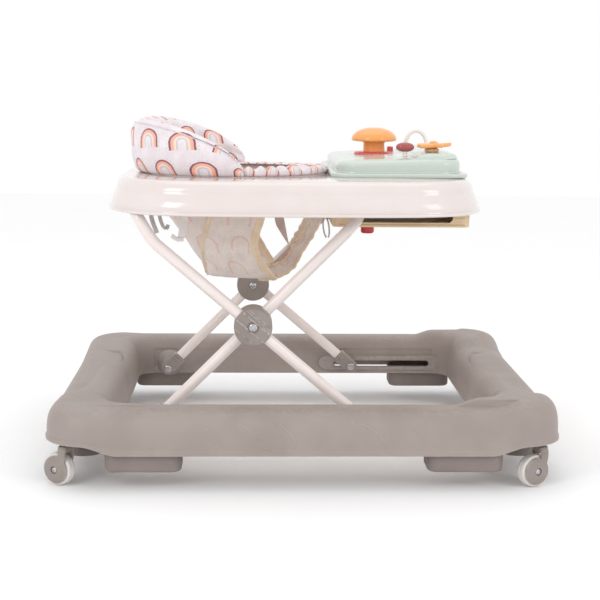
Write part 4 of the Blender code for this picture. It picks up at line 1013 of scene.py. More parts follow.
def buildTray():
    # section from the lip up the leaning side, over the top and down the seat opening's edge, then back
    # inside
    low, high = boxSize("tray_shell")
    t = tray
    tall = high[2] - low[2]
    outer, outN, inner, inN = trayLoops()
    lip = [(0.0010, 0.0), (-t["lipOut"] * 0.6, 0.0006), (-t["lipOut"], 0.0016),
           (-t["lipOut"], t["lipTall"] - 0.0010), (-t["lipOut"] * 0.4, t["lipTall"]),
           (0.0014, t["lipTall"] + 0.0005)]
    s = np.linspace(0.0, 1, 14)[1:]
    sideTop = tall - t["topRound"]
    side = np.stack([0.0022 + (t["lean"] - 0.0022) * s ** 1.5 - t["bulge"] * np.sin(math.pi * s) * (1 - s),
                     t["lipTall"] + 0.0006 + (sideTop - t["lipTall"] - 0.0006) * s], axis=-1)
    turn = np.linspace(0, math.pi / 2, 14)[1:]
    over = np.stack([t["lean"] + t["topRound"] * (1 - np.cos(turn)), sideTop + t["topRound"] * np.sin(turn)],
                    axis=-1)
    outside = np.concatenate([lip, side, over])
    turn = np.linspace(math.pi / 2, 0, 9)
    edge = np.stack([t["edgeRound"] * (1 - np.cos(turn)), tall - t["edgeRound"] * (1 - np.sin(turn))],
                    axis=-1)
    edge = np.concatenate([edge, [(0.0, tall - t["edgeDrop"]), (t["wall"], tall - t["edgeDrop"])]])
    back = np.array([(t["wall"], tall - 0.010), (t["wall"] + 0.006, tall - t["wall"])])
    under = np.array([(t["lean"] + t["topRound"], tall - t["wall"]),
                      (t["lean"] + t["wall"] + 0.004, tall - 0.009), (t["lean"] + t["wall"], sideTop),
                      (0.0022 + t["wall"], t["lipTall"] + 0.002), (0.0030, 0.0)])

    def ring(loop, normals, section, sign):
        # the section stood on each point of a loop: loop -+ n inset, low + height
        flat = loop[:, None] - sign * normals[:, None] * section[None, :, :1]
        level = np.broadcast_to(low[2] + section[None, :, 1:], (*flat.shape[:2], 1))
        return np.concatenate([flat, level], axis=-1)

    outRows = ring(outer, outN, outside, 1)
    edgeRows = ring(inner, inN, edge, -1)
    share = np.linspace(0, 1, 9)[1:-1, None, None]
    deck = outRows[:, -1][None] * (1 - share) + edgeRows[:, 0][None] * share
    deck[..., 2] += t["crown"] * np.sin(math.pi * share[..., 0])
    grid = np.concatenate([outRows, np.moveaxis(deck, 0, 1), edgeRows, ring(inner, inN, back, -1),
                           ring(outer, outN, under, 1), outRows[:, :1]], axis=1)
    makePiece("tray_rim", gridShape(grid, wrap=True), looks["cream"], "tray",
              ["tray_shell"], sharp=50)


frontChannel = {"slotX": 0.0784, "slotZ": 0.3559, "slotHalf": 0.0112, "slotRun": 0.132}


def buildTrayFittings():
    # clips round the rear bar, the front channel's ledges and slot lips, and the red release cap
    for word, _ in sides:
        low, high = boxSize(f"rear_clip_{word}")
        outline = roundedOutline(low[0], high[0], low[2], high[2], 0.005, 8)
        clip = slabShape(outline, low[1], high[1], 0.0018, "XZ", 5)
        collar = latheShape([(0.0083, -0.0145), (0.0104, -0.0145), (0.0110, -0.0138), (0.0110, 0.0138),
                             (0.0104, 0.0145), (0.0083, 0.0145), (0.0083, -0.0145)],
                            (jointPlace("tray_level")[0], (low[1] + high[1]) / 2,
                             jointPlace("tray_level")[2]), (0, 1, 0), 40)
        piece = makePiece(f"bar_clip_{word}", clip, looks["ivory"], "tray",
                          [f"rear_clip_{word}"])
        bore = latheShape([(0, -0.03), (0.0083, -0.03), (0.0083, 0.03), (0, 0.03)],
                          (jointPlace("tray_level")[0], (low[1] + high[1]) / 2, jointPlace("tray_level")[2]),
                          (0, 1, 0), 40)
        applyTools(piece, [hiddenTool(f"clip_bore_{word}", bore)])
        makePiece(f"bar_collar_{word}", collar, looks["ivory"], "tray")
    # the box keeps its CAD shape in the darker ivory, painted shade for the shadow under the tray
    channel = cadNodes["front_channel"]
    channel.data.materials.clear()
    channel.data.materials.append(looks["shadedIvory"])
    low, high = boxSize("front_channel")
    # two moulded ledges along each side of the box, and its rolled lower rim
    rails = []
    for y in (low[1] - 0.0001, high[1] + 0.0001):
        for z, wide in ((low[2] + 0.0022, 0.0016), (low[2] + 0.0125, 0.0007)):
            start = high[0] - 0.021 if wide < 0.001 else low[0] + 0.008
            rails.append(sweepShape([(start, y, z), ((start + high[0] - 0.008) / 2, y, z),
                                     (high[0] - 0.008, y, z)], circleSection(wide, 10), (0, 0, 1)))
    c = frontChannel
    for y in (low[1] + 0.0012, high[1] - 0.0012):
        for z in (c["slotZ"] - c["slotHalf"], c["slotZ"] + c["slotHalf"]):
            rails.append(sweepShape([(c["slotX"] - 0.010, y, z), (c["slotX"] + c["slotRun"], y, z)],
                                    bandSection(0.0024, 0.0020), (0, 0, 1)))
    makePiece("channel_ledges", joinShapes(*rails), looks["shadedIvory"], "tray")
    low, high = boxSize("release_button")
    centre = ((low[0] + high[0]) / 2, (low[1] + high[1]) / 2, low[2])
    turn = np.linspace(0, math.pi / 2, 7)
    dome = [(0.0100 - 0.0030 * (1 - math.sin(t)), 0.0030 * (1 - math.cos(t))) for t in turn]
    body = [(0, 0)] + dome + [(0.0100, 0.0165), (0.0096, 0.0170), (0.0060, 0.0170),
                              (0.0060, high[2] - low[2]), (0, high[2] - low[2])]
    makePiece("release_cap", latheShape(body, centre, (0, 0, 1), 48), looks["deepRed"], "release",
              ["release_button"])


toyPanel = {"corner": 0.034, "topRound": 0.010, "flangeTall": 0.0064, "rise": 0.0065,
            "stepIn": 0.006, "raisedRise": 0.0055, "raisedRear": 0.122}


def panelTop(x, low, high):
    # the top falls in a straight line from the panel's front to its rear
    return high[2] - toyPanel["raisedRise"] - toyPanel["rise"] * (high[0] - x) / (high[0] - low[0])


def raisedPart(low, high):
    # the panel's raised front end: a crowned pad whose rear side ramps down into the top
    x0, x1 = low[0] + toyPanel["raisedRear"] - 0.014, high[0] - 0.0055
    half = high[1] - 0.0075
    grids = []
    for inset, share in ((0, 0.0), (0.0006, 0.30), (0.0020, 0.62), (0.0042, 0.86), (0.0072, 0.98),
                         (0.0100, 1.0)):
        rear = x0 + inset * 2.2
        corner = 0.026 - inset * 0.6
        loop, _ = roundedLoop(rear, x1 - inset, half - inset, corner, corner, 26, 14)
        foot = panelTop(loop[:, 0], low, high) - 0.0012
        grids.append(np.column_stack([loop, foot + share * (high[2] - foot)]))
    last = grids[-1]
    middle = last.mean(axis=0)
    for share in (0.8, 0.5, 0.2, 0.0):
        ring = middle + (last - middle) * share
        ring[:, 2] += 0.0006 * (1 - share ** 2)
        grids.append(ring)
    base = grids[0]
    centre = base.mean(axis=0) - (0, 0, 0.001)
    under = [centre + (base - centre) * share for share in (0.0, 0.5, 0.95)]
    grid = np.stack(under + grids)
    return gridShape(np.concatenate([grid, grid[:, :1]], axis=1))


def buildPanel():
    # rounded outlines stacked with growing inset: a foot, a case and a raised front end
    low, high = boxSize("panel_flange")
    outline = roundedOutline(low[0], high[0], low[1], high[1], 0.030, 14)
    makePiece("panel_foot", slabShape(outline, low[2], low[2] + toyPanel["flangeTall"], 0.0028, steps=7),
              looks["mint"], "tray", ["panel_flange"])
    low, high = boxSize("panel_body")
    low = low - (0, 0, 0.0028)
    p = toyPanel
    # wall with a little draft, a wide round over the top edge, a fine step line, then a crowned top
    turn = np.linspace(0, math.pi / 2, 12)
    wallTop = 1 - p["topRound"] / (high[2] - low[2] - p["raisedRise"])
    rows = [(0.0, 0.0), (0.0004, 0.10), (0.0016, 0.12)]
    rows += [(0.0016 + p["topRound"] * (1 - math.cos(t)),
              wallTop + (1 - wallTop) * math.sin(t)) for t in turn]
    stepAt = 0.0016 + p["topRound"] + p["stepIn"]
    rows += [(stepAt, 1.0), (stepAt + 0.0012, 1.0 + 0.03)]
    grids = []
    for inset, share in rows:
        corner = max(p["corner"] - inset * 0.7, 0.012)
        loop, _ = roundedLoop(low[0] + inset, high[0] - inset, high[1] - inset, corner, corner, 26, 14)
        z = low[2] + share * (panelTop(loop[:, 0], low, high) - low[2])
        grids.append(np.column_stack([loop, z]))
    last = grids[-1]
    middle = last.mean(axis=0)
    for share in (0.9, 0.7, 0.45, 0.2, 0.0):
        ring = middle + (last - middle) * share
        ring[:, 2] += 0.0008 * (1 - share ** 2)
        grids.append(ring)
    base = grids[0]
    centre = np.array([middle[0], middle[1], low[2]])
    bottom = [centre + (base - centre) * share for share in (0.0, 0.5, 0.9)]
    grid = np.stack(bottom + grids)
    grid = np.concatenate([grid, grid[:, :1]], axis=1)
    body = makePiece("panel_case", gridShape(grid), looks["mint"], "tray", ["panel_body"],
                     sharp=44)
    buttonLow, buttonHigh = boxSize("press_button")
    clear = 0.0006
    outline = roundedOutline(buttonLow[0] - clear, buttonHigh[0] + clear, buttonLow[1] - clear,
                             buttonHigh[1] + clear, 0.0016, 4)
    hole = slabShape(outline, buttonLow[2] - 0.004, buttonHigh[2] + 0.02, 0.0001, steps=1)
    applyTools(body, [hiddenTool("press_hole", hole)])
    makePiece("panel_raised", raisedPart(low, high), looks["mint"], "tray", sharp=44)


toyParts = {"knobStem": 0.0162, "knobCapFrom": 0.0155, "flowerReach": 0.0215, "petal": 0.0045,
            "hoopWire": 0.0030}


def buildToys():
    # turned profiles for knob, stem, cup and bud, an egg for the lever's bead, half an ellipse for the hoop,
    # and a flower of five petals, r = reach + petal cos 5a
    low, high = boxSize("knob_seat")
    centre = ((low[0] + high[0]) / 2, (low[1] + high[1]) / 2)
    wide, tall = (high[0] - low[0]) / 2, high[2] - low[2]
    seatRows = [(0, -0.002), (wide, -0.002), (wide, tall * 0.5), (wide - 0.0008, tall - 0.0005),
                (wide - 0.0018, tall), (0, tall)]
    makePiece("knob_ring", latheShape(seatRows, (*centre, low[2]), (0, 0, 1), 72), looks["red"], "tray",
              ["knob_seat"])
    low, high = boxSize("mushroom_knob")
    r, tall = (high[0] - low[0]) / 2, high[2] - low[2]
    stem, cap = toyParts["knobStem"], toyParts["knobCapFrom"]
    rim = cap + 0.0026
    t = np.linspace(0, math.pi / 2, 26)
    dome = np.stack([r * np.cos(t) ** 0.93, rim + (tall - rim) * np.sin(t)], axis=-1)
    profile = [(0, 0), (stem, 0), (stem, 0.0008), (stem, 0.0022), (stem - 0.0004, cap - 0.0030),
               (stem + 0.0014, cap - 0.0008), (r * 0.84, cap), (r * 0.95, cap + 0.0006),
               (r * 0.99, cap + 0.0014)]
    profile = np.concatenate([profile, dome[:-1], [(0, tall)]])
    makePiece("mushroom_toy", latheShape(profile, (*centre, low[2]), (0, 0, 1), 96), looks["orange"], "knob",
              ["mushroom_knob"], sharp=60)
    low, high = boxSize("press_button")
    outline = roundedOutline(low[0], high[0], low[1], high[1], 0.0015, 5)
    makePiece("press_key", slabShape(outline, low[2], high[2], 0.0014, steps=5, crown=0.0003), looks["red"],
              "press", ["press_button"])
    low, high = boxSize("lever_grip")
    middle = (low + high) / 2
    half = (high - low) / 2
    u = np.linspace(0, math.pi, 33)[:, None]
    v = np.linspace(0, math.tau, 57)[None, :]
    egg = np.stack(np.broadcast_arrays(-half[0] * np.cos(u) + 0 * v, half[1] * np.sin(u) ** 0.9 * np.cos(v),
                                       half[2] * np.sin(u) ** 0.9 * np.sin(v)), axis=-1)
    makePiece("lever_bead", gridShape(middle + egg), looks["brick"], "lever",
              ["lever_grip"])
    low, high = boxSize("lever_stalk")
    foot = ((low[0] + high[0]) / 2, (low[1] + high[1]) / 2, low[2])
    tall = high[2] - low[2] + 0.003
    stalk = [(0, 0), (0.0040, 0), (0.0048, 0.0006), (0.0034, 0.0016), (0.0028, tall * 0.5), (0.0040, tall),
             (0, tall)]
    makePiece("lever_stem", latheShape(stalk, foot, (0, 0, 1), 32), looks["white"], "lever",
              ["lever_stalk"])
    low, high = boxSize("flower_post")
    foot = ((low[0] + high[0]) / 2, (low[1] + high[1]) / 2, low[2])
    tall = high[2] - low[2]
    post = [(0, 0), (0.0085, 0), (0.0100, 0.0010), (0.0105, 0.0025), (0.0102, 0.0036),
            (0.0088, tall - 0.0008), (0.0070, tall), (0, tall)]
    makePiece("flower_cup", latheShape(post, foot, (0, 0, 1), 48), looks["tan"], "tray",
              ["flower_post"])
    low, high = boxSize("flower_spinner")
    middle = (low + high) / 2
    turn = np.linspace(0, math.tau, 181)[:-1]
    reach = toyParts["flowerReach"] + toyParts["petal"] * np.cos(5 * turn) - 0.0006 * (1 - np.cos(10 * turn))
    outline = middle[:2] + reach[:, None] * np.stack([np.cos(turn), np.sin(turn)], axis=-1)
    petals, faces, uv = slabShape(outline, low[2], high[2], 0.0022, steps=6, crown=0.0006)
    angle = np.arctan2(petals[:, 1] - middle[1], petals[:, 0] - middle[0])
    far = np.hypot(petals[:, 0] - middle[0], petals[:, 1] - middle[1]) / 0.026
    petals[:, 2] += far ** 2 * (0.0008 * np.cos(5 * angle + 0.9) + 0.0014 * np.cos(angle))
    bud = latheShape([(0, 0), (0.0062, 0), (0.0060, 0.0022), (0.0042, 0.0040), (0, 0.0048)],
                     (middle[0], middle[1], high[2] - 0.0006), (0, 0, 1), 40)
    makePiece("flower_wheel", joinShapes((petals, faces, uv), bud), looks["orange"], "spinner",
              ["flower_spinner"], sharp=60)
    low, high = boxSize("toy_arch")
    y = (low[1] + high[1]) / 2
    t = np.linspace(0, math.pi, 60)
    half = (high[0] - low[0]) / 2 - toyParts["hoopWire"]
    rise = high[2] - low[2] - 0.0060
    hoop = np.stack([(low[0] + high[0]) / 2 - half * np.cos(t), y + 0 * t,
                     low[2] + 0.003 + rise * np.sin(t)], axis=-1)
    hoop = np.concatenate([[hoop[0] - (0, 0, 0.004)], hoop, [hoop[-1] - (0, 0, 0.004)]])
    feet = [latheShape([(0, 0), (0.0052, 0), (0.0050, 0.0012), (0.0030, 0.0022), (0, 0.0022)],
                       (x, y, low[2] - 0.0004), (0, 0, 1), 32) for x in (low[0] + 0.003, high[0] - 0.003)]
    makePiece("hoop_toy", joinShapes(sweepShape(hoop, circleSection(toyParts["hoopWire"], 24), (0, 1, 0)),
                                     *feet), looks["white"], "tray", ["toy_arch"])


buildTray()
buildTrayFittings()
buildPanel()
buildToys()
print("tray, panel and toys built")


backPad = {"out": 0.0095, "thick": 0.040, "height": 0.080, "wingHeight": 0.010, "wingThick": 0.45,
           "puff": 0.006, "pressure": 4.0, "frames": 20, "start": 0.82, "settle": 0.985, "wingReach": 0.54,
           "pipingColumn": 23}


def seatPath(straight, bend):
    # the seat opening's outline and outward normals
    low, _ = boxSize("tray_shell")
    rearX = low[0] + seatHole["rearIn"]
    return roundedLoop(rearX, rearX + seatHole["length"], seatHole["halfWidth"], seatHole["corner"],
                       seatHole["corner"], straight, bend)


def alongPath(points):
    # distance along a path at each of its points
    return np.concatenate([[0.0], np.cumsum(np.linalg.norm(np.diff(points, axis=0), axis=1))])


def padGrid():
    # section of a stuffed roll: a = |cos|^0.7, b = (1 + |sin|^0.7) / 2, leaning out a little, with soft
    # folds
    low, high = boxSize("seat_backrest")
    points, normals = seatPath(20, 44)
    rearX = points[:, 0].min()
    wingX = rearX + backPad["wingReach"] * seatHole["length"]
    keep = points[:, 0] < wingX
    points, normals = points[keep], normals[keep]
    along = alongPath(points)
    even = np.linspace(0, along[-1], 130)
    points = np.stack([np.interp(even, along, points[:, k]) for k in (0, 1)], axis=-1)
    normals = unit(np.stack([np.interp(even, along, normals[:, k]) for k in (0, 1)], axis=-1))
    reach = np.clip((points[:, 0] - rearX) / (wingX - rearX), 0, 1)
    rear = np.sqrt(1 - reach ** 2)
    b = backPad
    height = b["wingHeight"] + (high[2] - low[2] - b["wingHeight"]) * (1 - reach ** 1.5) ** 0.7
    thick = b["thick"] / 2 * (b["wingThick"] + (1 - b["wingThick"]) * rear) * b["start"]
    turn = np.linspace(-math.pi / 2, 1.5 * math.pi, 61)
    across = np.sign(np.cos(turn)) * np.abs(np.cos(turn)) ** 0.62
    up = (1 + np.sign(np.sin(turn)) * np.abs(np.sin(turn)) ** 0.62) / 2
    spot = points + normals * b["out"]
    lean = 0.003 * np.sin(math.pi * up)[None] * rear[:, None]
    offset = thick[:, None] * across[None] + lean
    s = even[:, None] / 0.030
    folds = 0.0011 * np.sin(2.1 * s + 3 * up[None]) * np.sin(5.3 * up[None] + 0.7 * s)
    folds = folds + 0.0006 * np.sin(5.7 * s - 4 * up[None])
    offset = offset + folds * np.sign(across)[None] * np.abs(across)[None] ** 0.5
    flat = spot[:, None] + normals[:, None] * offset[..., None]
    z = low[2] + 0.0006 + height[:, None] * up[None] * b["settle"]
    grid = np.concatenate([flat, z[..., None]], axis=-1)
    girth = alongPath(np.stack([across * b["thick"] / 2, up * b["height"]], axis=-1))
    girth = np.minimum(girth, girth[-1] - girth)
    tallness = 0.35 + 0.65 * height[:, None] / b["height"]
    uv = np.stack(np.broadcast_arrays(even[:, None], girth[None] * tallness), axis=-1).copy()
    return grid, uv


def puffUp(piece, held, cap, pressure, frames):
    # cloth blown up from inside, its movement capped, with the held points left where they are
    mesh = piece.data
    rest = np.zeros(len(mesh.vertices) * 3, np.float32)
    mesh.vertices.foreach_get("co", rest)
    rest = rest.reshape(-1, 3)
    group = piece.vertex_groups.new(name="held")
    group.add([int(k) for k in np.nonzero(held(rest))[0]], 1.0, "REPLACE")
    cloth = piece.modifiers.new("puff", "CLOTH")
    cloth.settings.vertex_group_mass = "held"
    cloth.settings.use_pressure = True
    cloth.settings.uniform_pressure_force = pressure
    cloth.settings.quality = 5
    cloth.settings.mass = 0.25
    cloth.settings.tension_stiffness = 12
    cloth.settings.compression_stiffness = 12
    cloth.settings.bending_stiffness = 0.4
    cloth.settings.effector_weights.gravity = 0.0
    cloth.point_cache.frame_end = frames
    scene = bpy.context.scene
    for step in range(1, frames + 1):
        scene.frame_set(step)
    graph = bpy.context.evaluated_depsgraph_get()
    blown = np.zeros(len(rest) * 3, np.float32)
    piece.evaluated_get(graph).data.vertices.foreach_get("co", blown)
    move = blown.reshape(-1, 3) - rest
    far = np.linalg.norm(move, axis=1, keepdims=True)
    move = move * np.minimum(1.0, cap / np.maximum(far, 1e-9))
    piece.modifiers.remove(cloth)
    piece.vertex_groups.remove(group)
    mesh.vertices.foreach_set("co", (rest + move).astype(np.float32).ravel())
    mesh.update()
    scene.frame_set(1)


def capEnds(grid, uv):
    # close a tube of rows by drawing its first and last rows in to a point through smaller copies
    shares = np.array([0.0, 0.45, 0.8])[:, None, None]
    first, last = grid[0].mean(axis=0), grid[-1].mean(axis=0)
    start = first + (grid[:1] - first) * shares
    stop = last + (grid[-1:] - last) * shares[::-1]
    return (np.concatenate([start, grid, stop]),
            np.concatenate([np.repeat(uv[:1], 3, axis=0), uv, np.repeat(uv[-1:], 3, axis=0)]))


def subdivide(piece, levels=1):
    # a live Subdivision Surface, the same in view and render
    step = piece.modifiers.new("fine", "SUBSURF")
    step.levels = levels
    step.render_levels = levels


def buildBackrest():
    # the stuffed pad, and the line along its top edge that the piping follows
    grid, uv = padGrid()
    low, _ = boxSize("seat_backrest")
    pad = makePiece("backrest_pad", gridShape(*capEnds(grid, uv)), looks["print"], "tray",
                    ["seat_backrest"], sharp=180)
    puffUp(pad, lambda place: place[:, 2] < low[2] + 0.004, backPad["puff"], backPad["pressure"],
           backPad["frames"])
    subdivide(pad)
    # piping that runs along the pad's outer top edge and down to each wing
    place = np.zeros(len(pad.data.vertices) * 3, np.float32)
    pad.data.vertices.foreach_get("co", place)
    place = place.reshape(-1, 3)
    route = grid[:, backPad["pipingColumn"]]
    near = np.argmin(np.linalg.norm(route[:, None] - place[None], axis=-1), axis=1)
    route = place[near]
    smooth = (route[2:] + route[:-2] + 2 * route[1:-1]) / 4
    outwards = smooth - np.array([smooth[:, 0].mean(), 0, smooth[:, 2].mean() - 0.05])
    smooth = smooth + unit(outwards) * 0.0006
    return pad, smooth


def buildBackSeam(route):
    # a pale welt along the whole route and a dark seam on each wing
    count = len(route)
    wing = int(count * 0.15)
    welt = sweepShape(smoothPath(route[::3], 200), circleSection(0.0010, 10), (0, 0, 1))
    makePiece("backrest_welt", welt, looks["welt"], "tray")
    cords = []
    for part in (route[2:wing], route[-wing:-2]):
        fine = smoothPath(part[::3] + (0, 0, 0.0007), 60)
        cords.append(sweepShape(fine, circleSection(0.0008, 10), (0, 0, 1)))
    makePiece("backrest_seam", joinShapes(*cords), looks["seam"], "tray")


rimRuffle = {"thick": 0.0130, "height": 0.0122, "wave": 0.0030, "pace": 0.0170, "farSide": 0.25}


def buildRim():
    # a gathered roll round the front of the opening: height and width ripple with the distance along it
    low, _ = boxSize("seat_rim")
    points, normals = seatPath(60, 60)
    rearX = points[:, 0].min()
    wingX = rearX + backPad["wingReach"] * seatHole["length"] - 0.012
    angle = np.arctan2(points[:, 1], points[:, 0] - wingX)
    order = np.argsort(angle)
    points, normals = points[order], normals[order]
    keep = points[:, 0] > wingX
    points, normals = points[keep], normals[keep]
    along = alongPath(points)
    even = np.linspace(0, along[-1], 300)
    points = np.stack([np.interp(even, along, points[:, k]) for k in (0, 1)], axis=-1)
    normals = unit(np.stack([np.interp(even, along, normals[:, k]) for k in (0, 1)], axis=-1))
    r = rimRuffle
    turn = np.linspace(-math.pi / 2, 1.5 * math.pi, 33)
    across = np.sign(np.cos(turn)) * np.abs(np.cos(turn)) ** 0.7
    up = (1 + np.sign(np.sin(turn)) * np.abs(np.sin(turn)) ** 0.7) / 2
    phase = even[:, None] / r["pace"] * math.tau
    uneven = np.sin(even / 0.031)[:, None] + 0.5 * np.sin(even / 0.011 + 1.0)[:, None]
    wave = np.sin(phase + 1.3 * uneven) * (0.6 + 0.4 * np.sin(even / 0.043)[:, None])
    offset = r["thick"] * across[None] * (1 + 0.10 * wave) + 0.0012 * wave * up[None]
    # the cloth is bunched on the near side and lies flat on the far side
    bunch = r["farSide"] + (1 - r["farSide"]) * smoothStep((0.100 - points[:, 1]) / 0.160)[:, None]
    z = low[2] + 0.0004 + up[None] * (r["height"] + r["wave"] * wave * up[None]) * bunch
    flat = (points - normals * 0.004)[:, None] + normals[:, None] * offset[..., None]
    grid = np.concatenate([flat, z[..., None]], axis=-1)
    girth = alongPath(np.stack([across * r["thick"], up * r["height"]], axis=-1))
    girth = np.minimum(girth, girth[-1] - girth)
    uv = np.stack(np.broadcast_arrays(even[:, None] * 1.5, girth[None]), axis=-1).copy()
    rim = makePiece("rim_ruffle", gridShape(*capEnds(grid, uv)), looks["print"], "tray",
                    ["seat_rim"], sharp=180)


sling = {"topZ": 0.3720, "seatZ": 0.2575, "seatDip": 0.0075, "halfWidth": 0.134, "drawIn": 0.046,
         "thick": 0.0011}


def slingPoint(u, v):
    # v 0..1 is the side wall from the top to the seat's edge, v 1..2 the seat's floor in to the middle line;
    # u -1..1 goes from the near leg edge round the back to the far one: a superellipse arc with small
    # ripples
    wall = np.clip(v, 0, 1)
    floor = np.clip(v - 1, 0, 1)
    drop = np.sin(wall * math.pi / 2) ** 0.92
    z = sling["topZ"] - (sling["topZ"] - sling["seatZ"]) * drop
    z = z - sling["seatDip"] * np.sin(floor * math.pi / 2)
    half = sling["halfWidth"] - sling["drawIn"] * wall ** 1.9
    rearX = np.interp(wall, [0, 0.16, 0.33, 0.62, 0.85, 1],
                      [-0.2120, -0.1930, -0.1720, -0.1460, -0.1405, -0.1400])
    edgeX = np.interp(wall, [0, 0.1, 0.2, 0.3, 0.38, 0.45, 0.57, 0.75, 1],
                      [-0.0500, -0.0545, -0.0605, -0.0640, -0.0635, -0.0605, -0.0520, -0.0420, -0.0340])
    turn = u * math.pi / 2
    x = edgeX - (edgeX - rearX) * np.abs(np.cos(turn)) ** 0.62
    y = half * np.sign(u) * np.abs(np.sin(turn)) ** 0.70
    y = y * (1 - floor)
    ripple = 0.0016 * np.sin(11 * u + 2.5 * wall) * np.sin(math.pi * wall) + 0.0010 * np.sin(23 * u - 3
                                                                                             * wall)
    sag = ripple * (1 - floor)
    return np.stack([x - sag * np.cos(turn), y + sag * np.sin(turn), z + 0.0008 * np.sin(19 * u) * floor],
                    axis=-1)


def clothSheet(name, grid, look, replaced=(), body="tray"):
    along = np.linalg.norm(np.diff(grid, axis=1), axis=-1).mean(axis=0)
    down = np.linalg.norm(np.diff(grid, axis=0), axis=-1).mean(axis=1)
    u = np.concatenate([[0], np.cumsum(along)])
    v = np.concatenate([[0], np.cumsum(down)])
    uv = np.stack(np.broadcast_arrays(u[None], -v[:, None]), axis=-1)
    piece = makePiece(name, gridShape(grid, uv), look, body, replaced, sharp=180)
    wall = piece.modifiers.new("wall", "SOLIDIFY")
    wall.thickness = sling["thick"]
    wall.offset = 0.0
    return piece


def buildSling():
    # the hanging seat: its cloth, bindings round the leg openings and down the back's seams
    u = np.linspace(-1, 1, 181)[None, :]
    v = np.concatenate([np.linspace(0, 1, 46), np.linspace(1, 2, 16)[1:]])[:, None]
    grid = slingPoint(*np.broadcast_arrays(u, v))
    clothSheet("sling_body", grid, looks["sling"],
               ["seat_sling"])
    bindings = []
    rows = 46
    for end, other in ((0, 1), (-1, -2)):
        edge = grid[:rows, end]
        inward = unit(grid[:rows, other] - edge)
        for shift, wide in ((0.0, 0.0016), (0.0042, 0.0010), (0.0088, 0.0014)):
            path = edge + inward * shift
            path[:, 0] += 0.0003 * np.sin(np.arange(rows) * 1.1)
            bindings.append(sweepShape(path, circleSection(1.0, 10) * (wide, 0.0014), (1, 0, 0)))
        tape = edge + inward * 0.0045
        bindings.append(sweepShape(tape, bandSection(0.0092, 0.0019), (1, 0, 0)))
    # a binding tape down each side, where the back panel joins the side panel
    for sign in (-1, 1):
        tape = []
        for row in grid[:rows]:
            half = row[:91] if sign < 0 else row[:89:-1]
            wanted = np.interp(row[0, 2], [0.2500, 0.2645, 0.2935, 0.3194, 0.3482, 0.3720],
                               [-0.1380, -0.1392, -0.1420, -0.1405, -0.1319, -0.1250])
            y = np.interp(wanted, half[::-1, 0], half[::-1, 1])
            tape.append((max(wanted, half[:, 0].min()), y + sign * 0.0014, row[0, 2]))
        bindings.append(sweepShape(smoothPath(np.array(tape)[::5], 60), bandSection(0.0066, 0.0018),
                                   (1, 0, 0)))
    makePiece("sling_bindings", joinShapes(*bindings), looks["piping"], "tray")
    buildFrontStrips()
    buildStraps()


def buildFrontStrips():
    # two strips from the middle of the seat floor up to the front of the opening, with gathered tan edges
    for word, side in sides:
        middle = smoothPath([(-0.0620, side * 0.012, 0.2512), (-0.0410, side * 0.020, 0.2560),
                             (-0.0170, side * 0.032, 0.2700), (-0.0035, side * 0.044, 0.2945),
                             (0.0125, side * 0.058, 0.3215), (0.0300, side * 0.072, 0.3600)], 70)
        wide = np.interp(np.linspace(0, 1, 70), [0, 0.2, 0.5, 1], [0.016, 0.022, 0.018, 0.014])
        tangent = unit(np.gradient(middle, axis=0))
        steep = np.stack([-tangent[:, 2], 0 * tangent[:, 0], tangent[:, 0]], axis=-1)
        reach = unit(steep * 0.85 - np.array([0.0, side * 0.5, 0.0]))
        up = unit(np.cross(tangent, reach))
        share = np.linspace(-0.5, 0.5, 13)
        gather = 0.0009 * np.sin(np.arange(70) * 0.8 + 0.6 * np.sin(np.arange(70) * 0.21))
        grid = middle[None] + reach[None] * (share[:, None] * wide[None])[..., None]
        lift = gather[None] * np.abs(share[:, None]) * 2 + 0.003 * share[:, None] ** 2
        grid = grid + up[None] * lift[..., None]
        clothSheet(f"front_strip_{word}", grid, looks["sling"])
        edges = []
        for row, wave in ((0, 0.0004), (-1, 0.0010)):
            place = grid[row] + reach * (wave * np.sin(np.arange(70) * 1.25))[:, None]
            edges.append(sweepShape(place, circleSection(1.0, 10) * (0.0019, 0.0022), (0, 1, 0),
                                    swell=1 + 0.12 * np.sin(np.arange(70) * 1.1)))
        makePiece(f"strip_piping_{word}", joinShapes(*edges), looks["piping"], "tray")


def ribbonStrap(points, width, across, thick=0.0012, count=24):
    # a flat band along a smooth curve through the points
    return sweepShape(smoothPath(points, count), bandSection(width, thick), across)


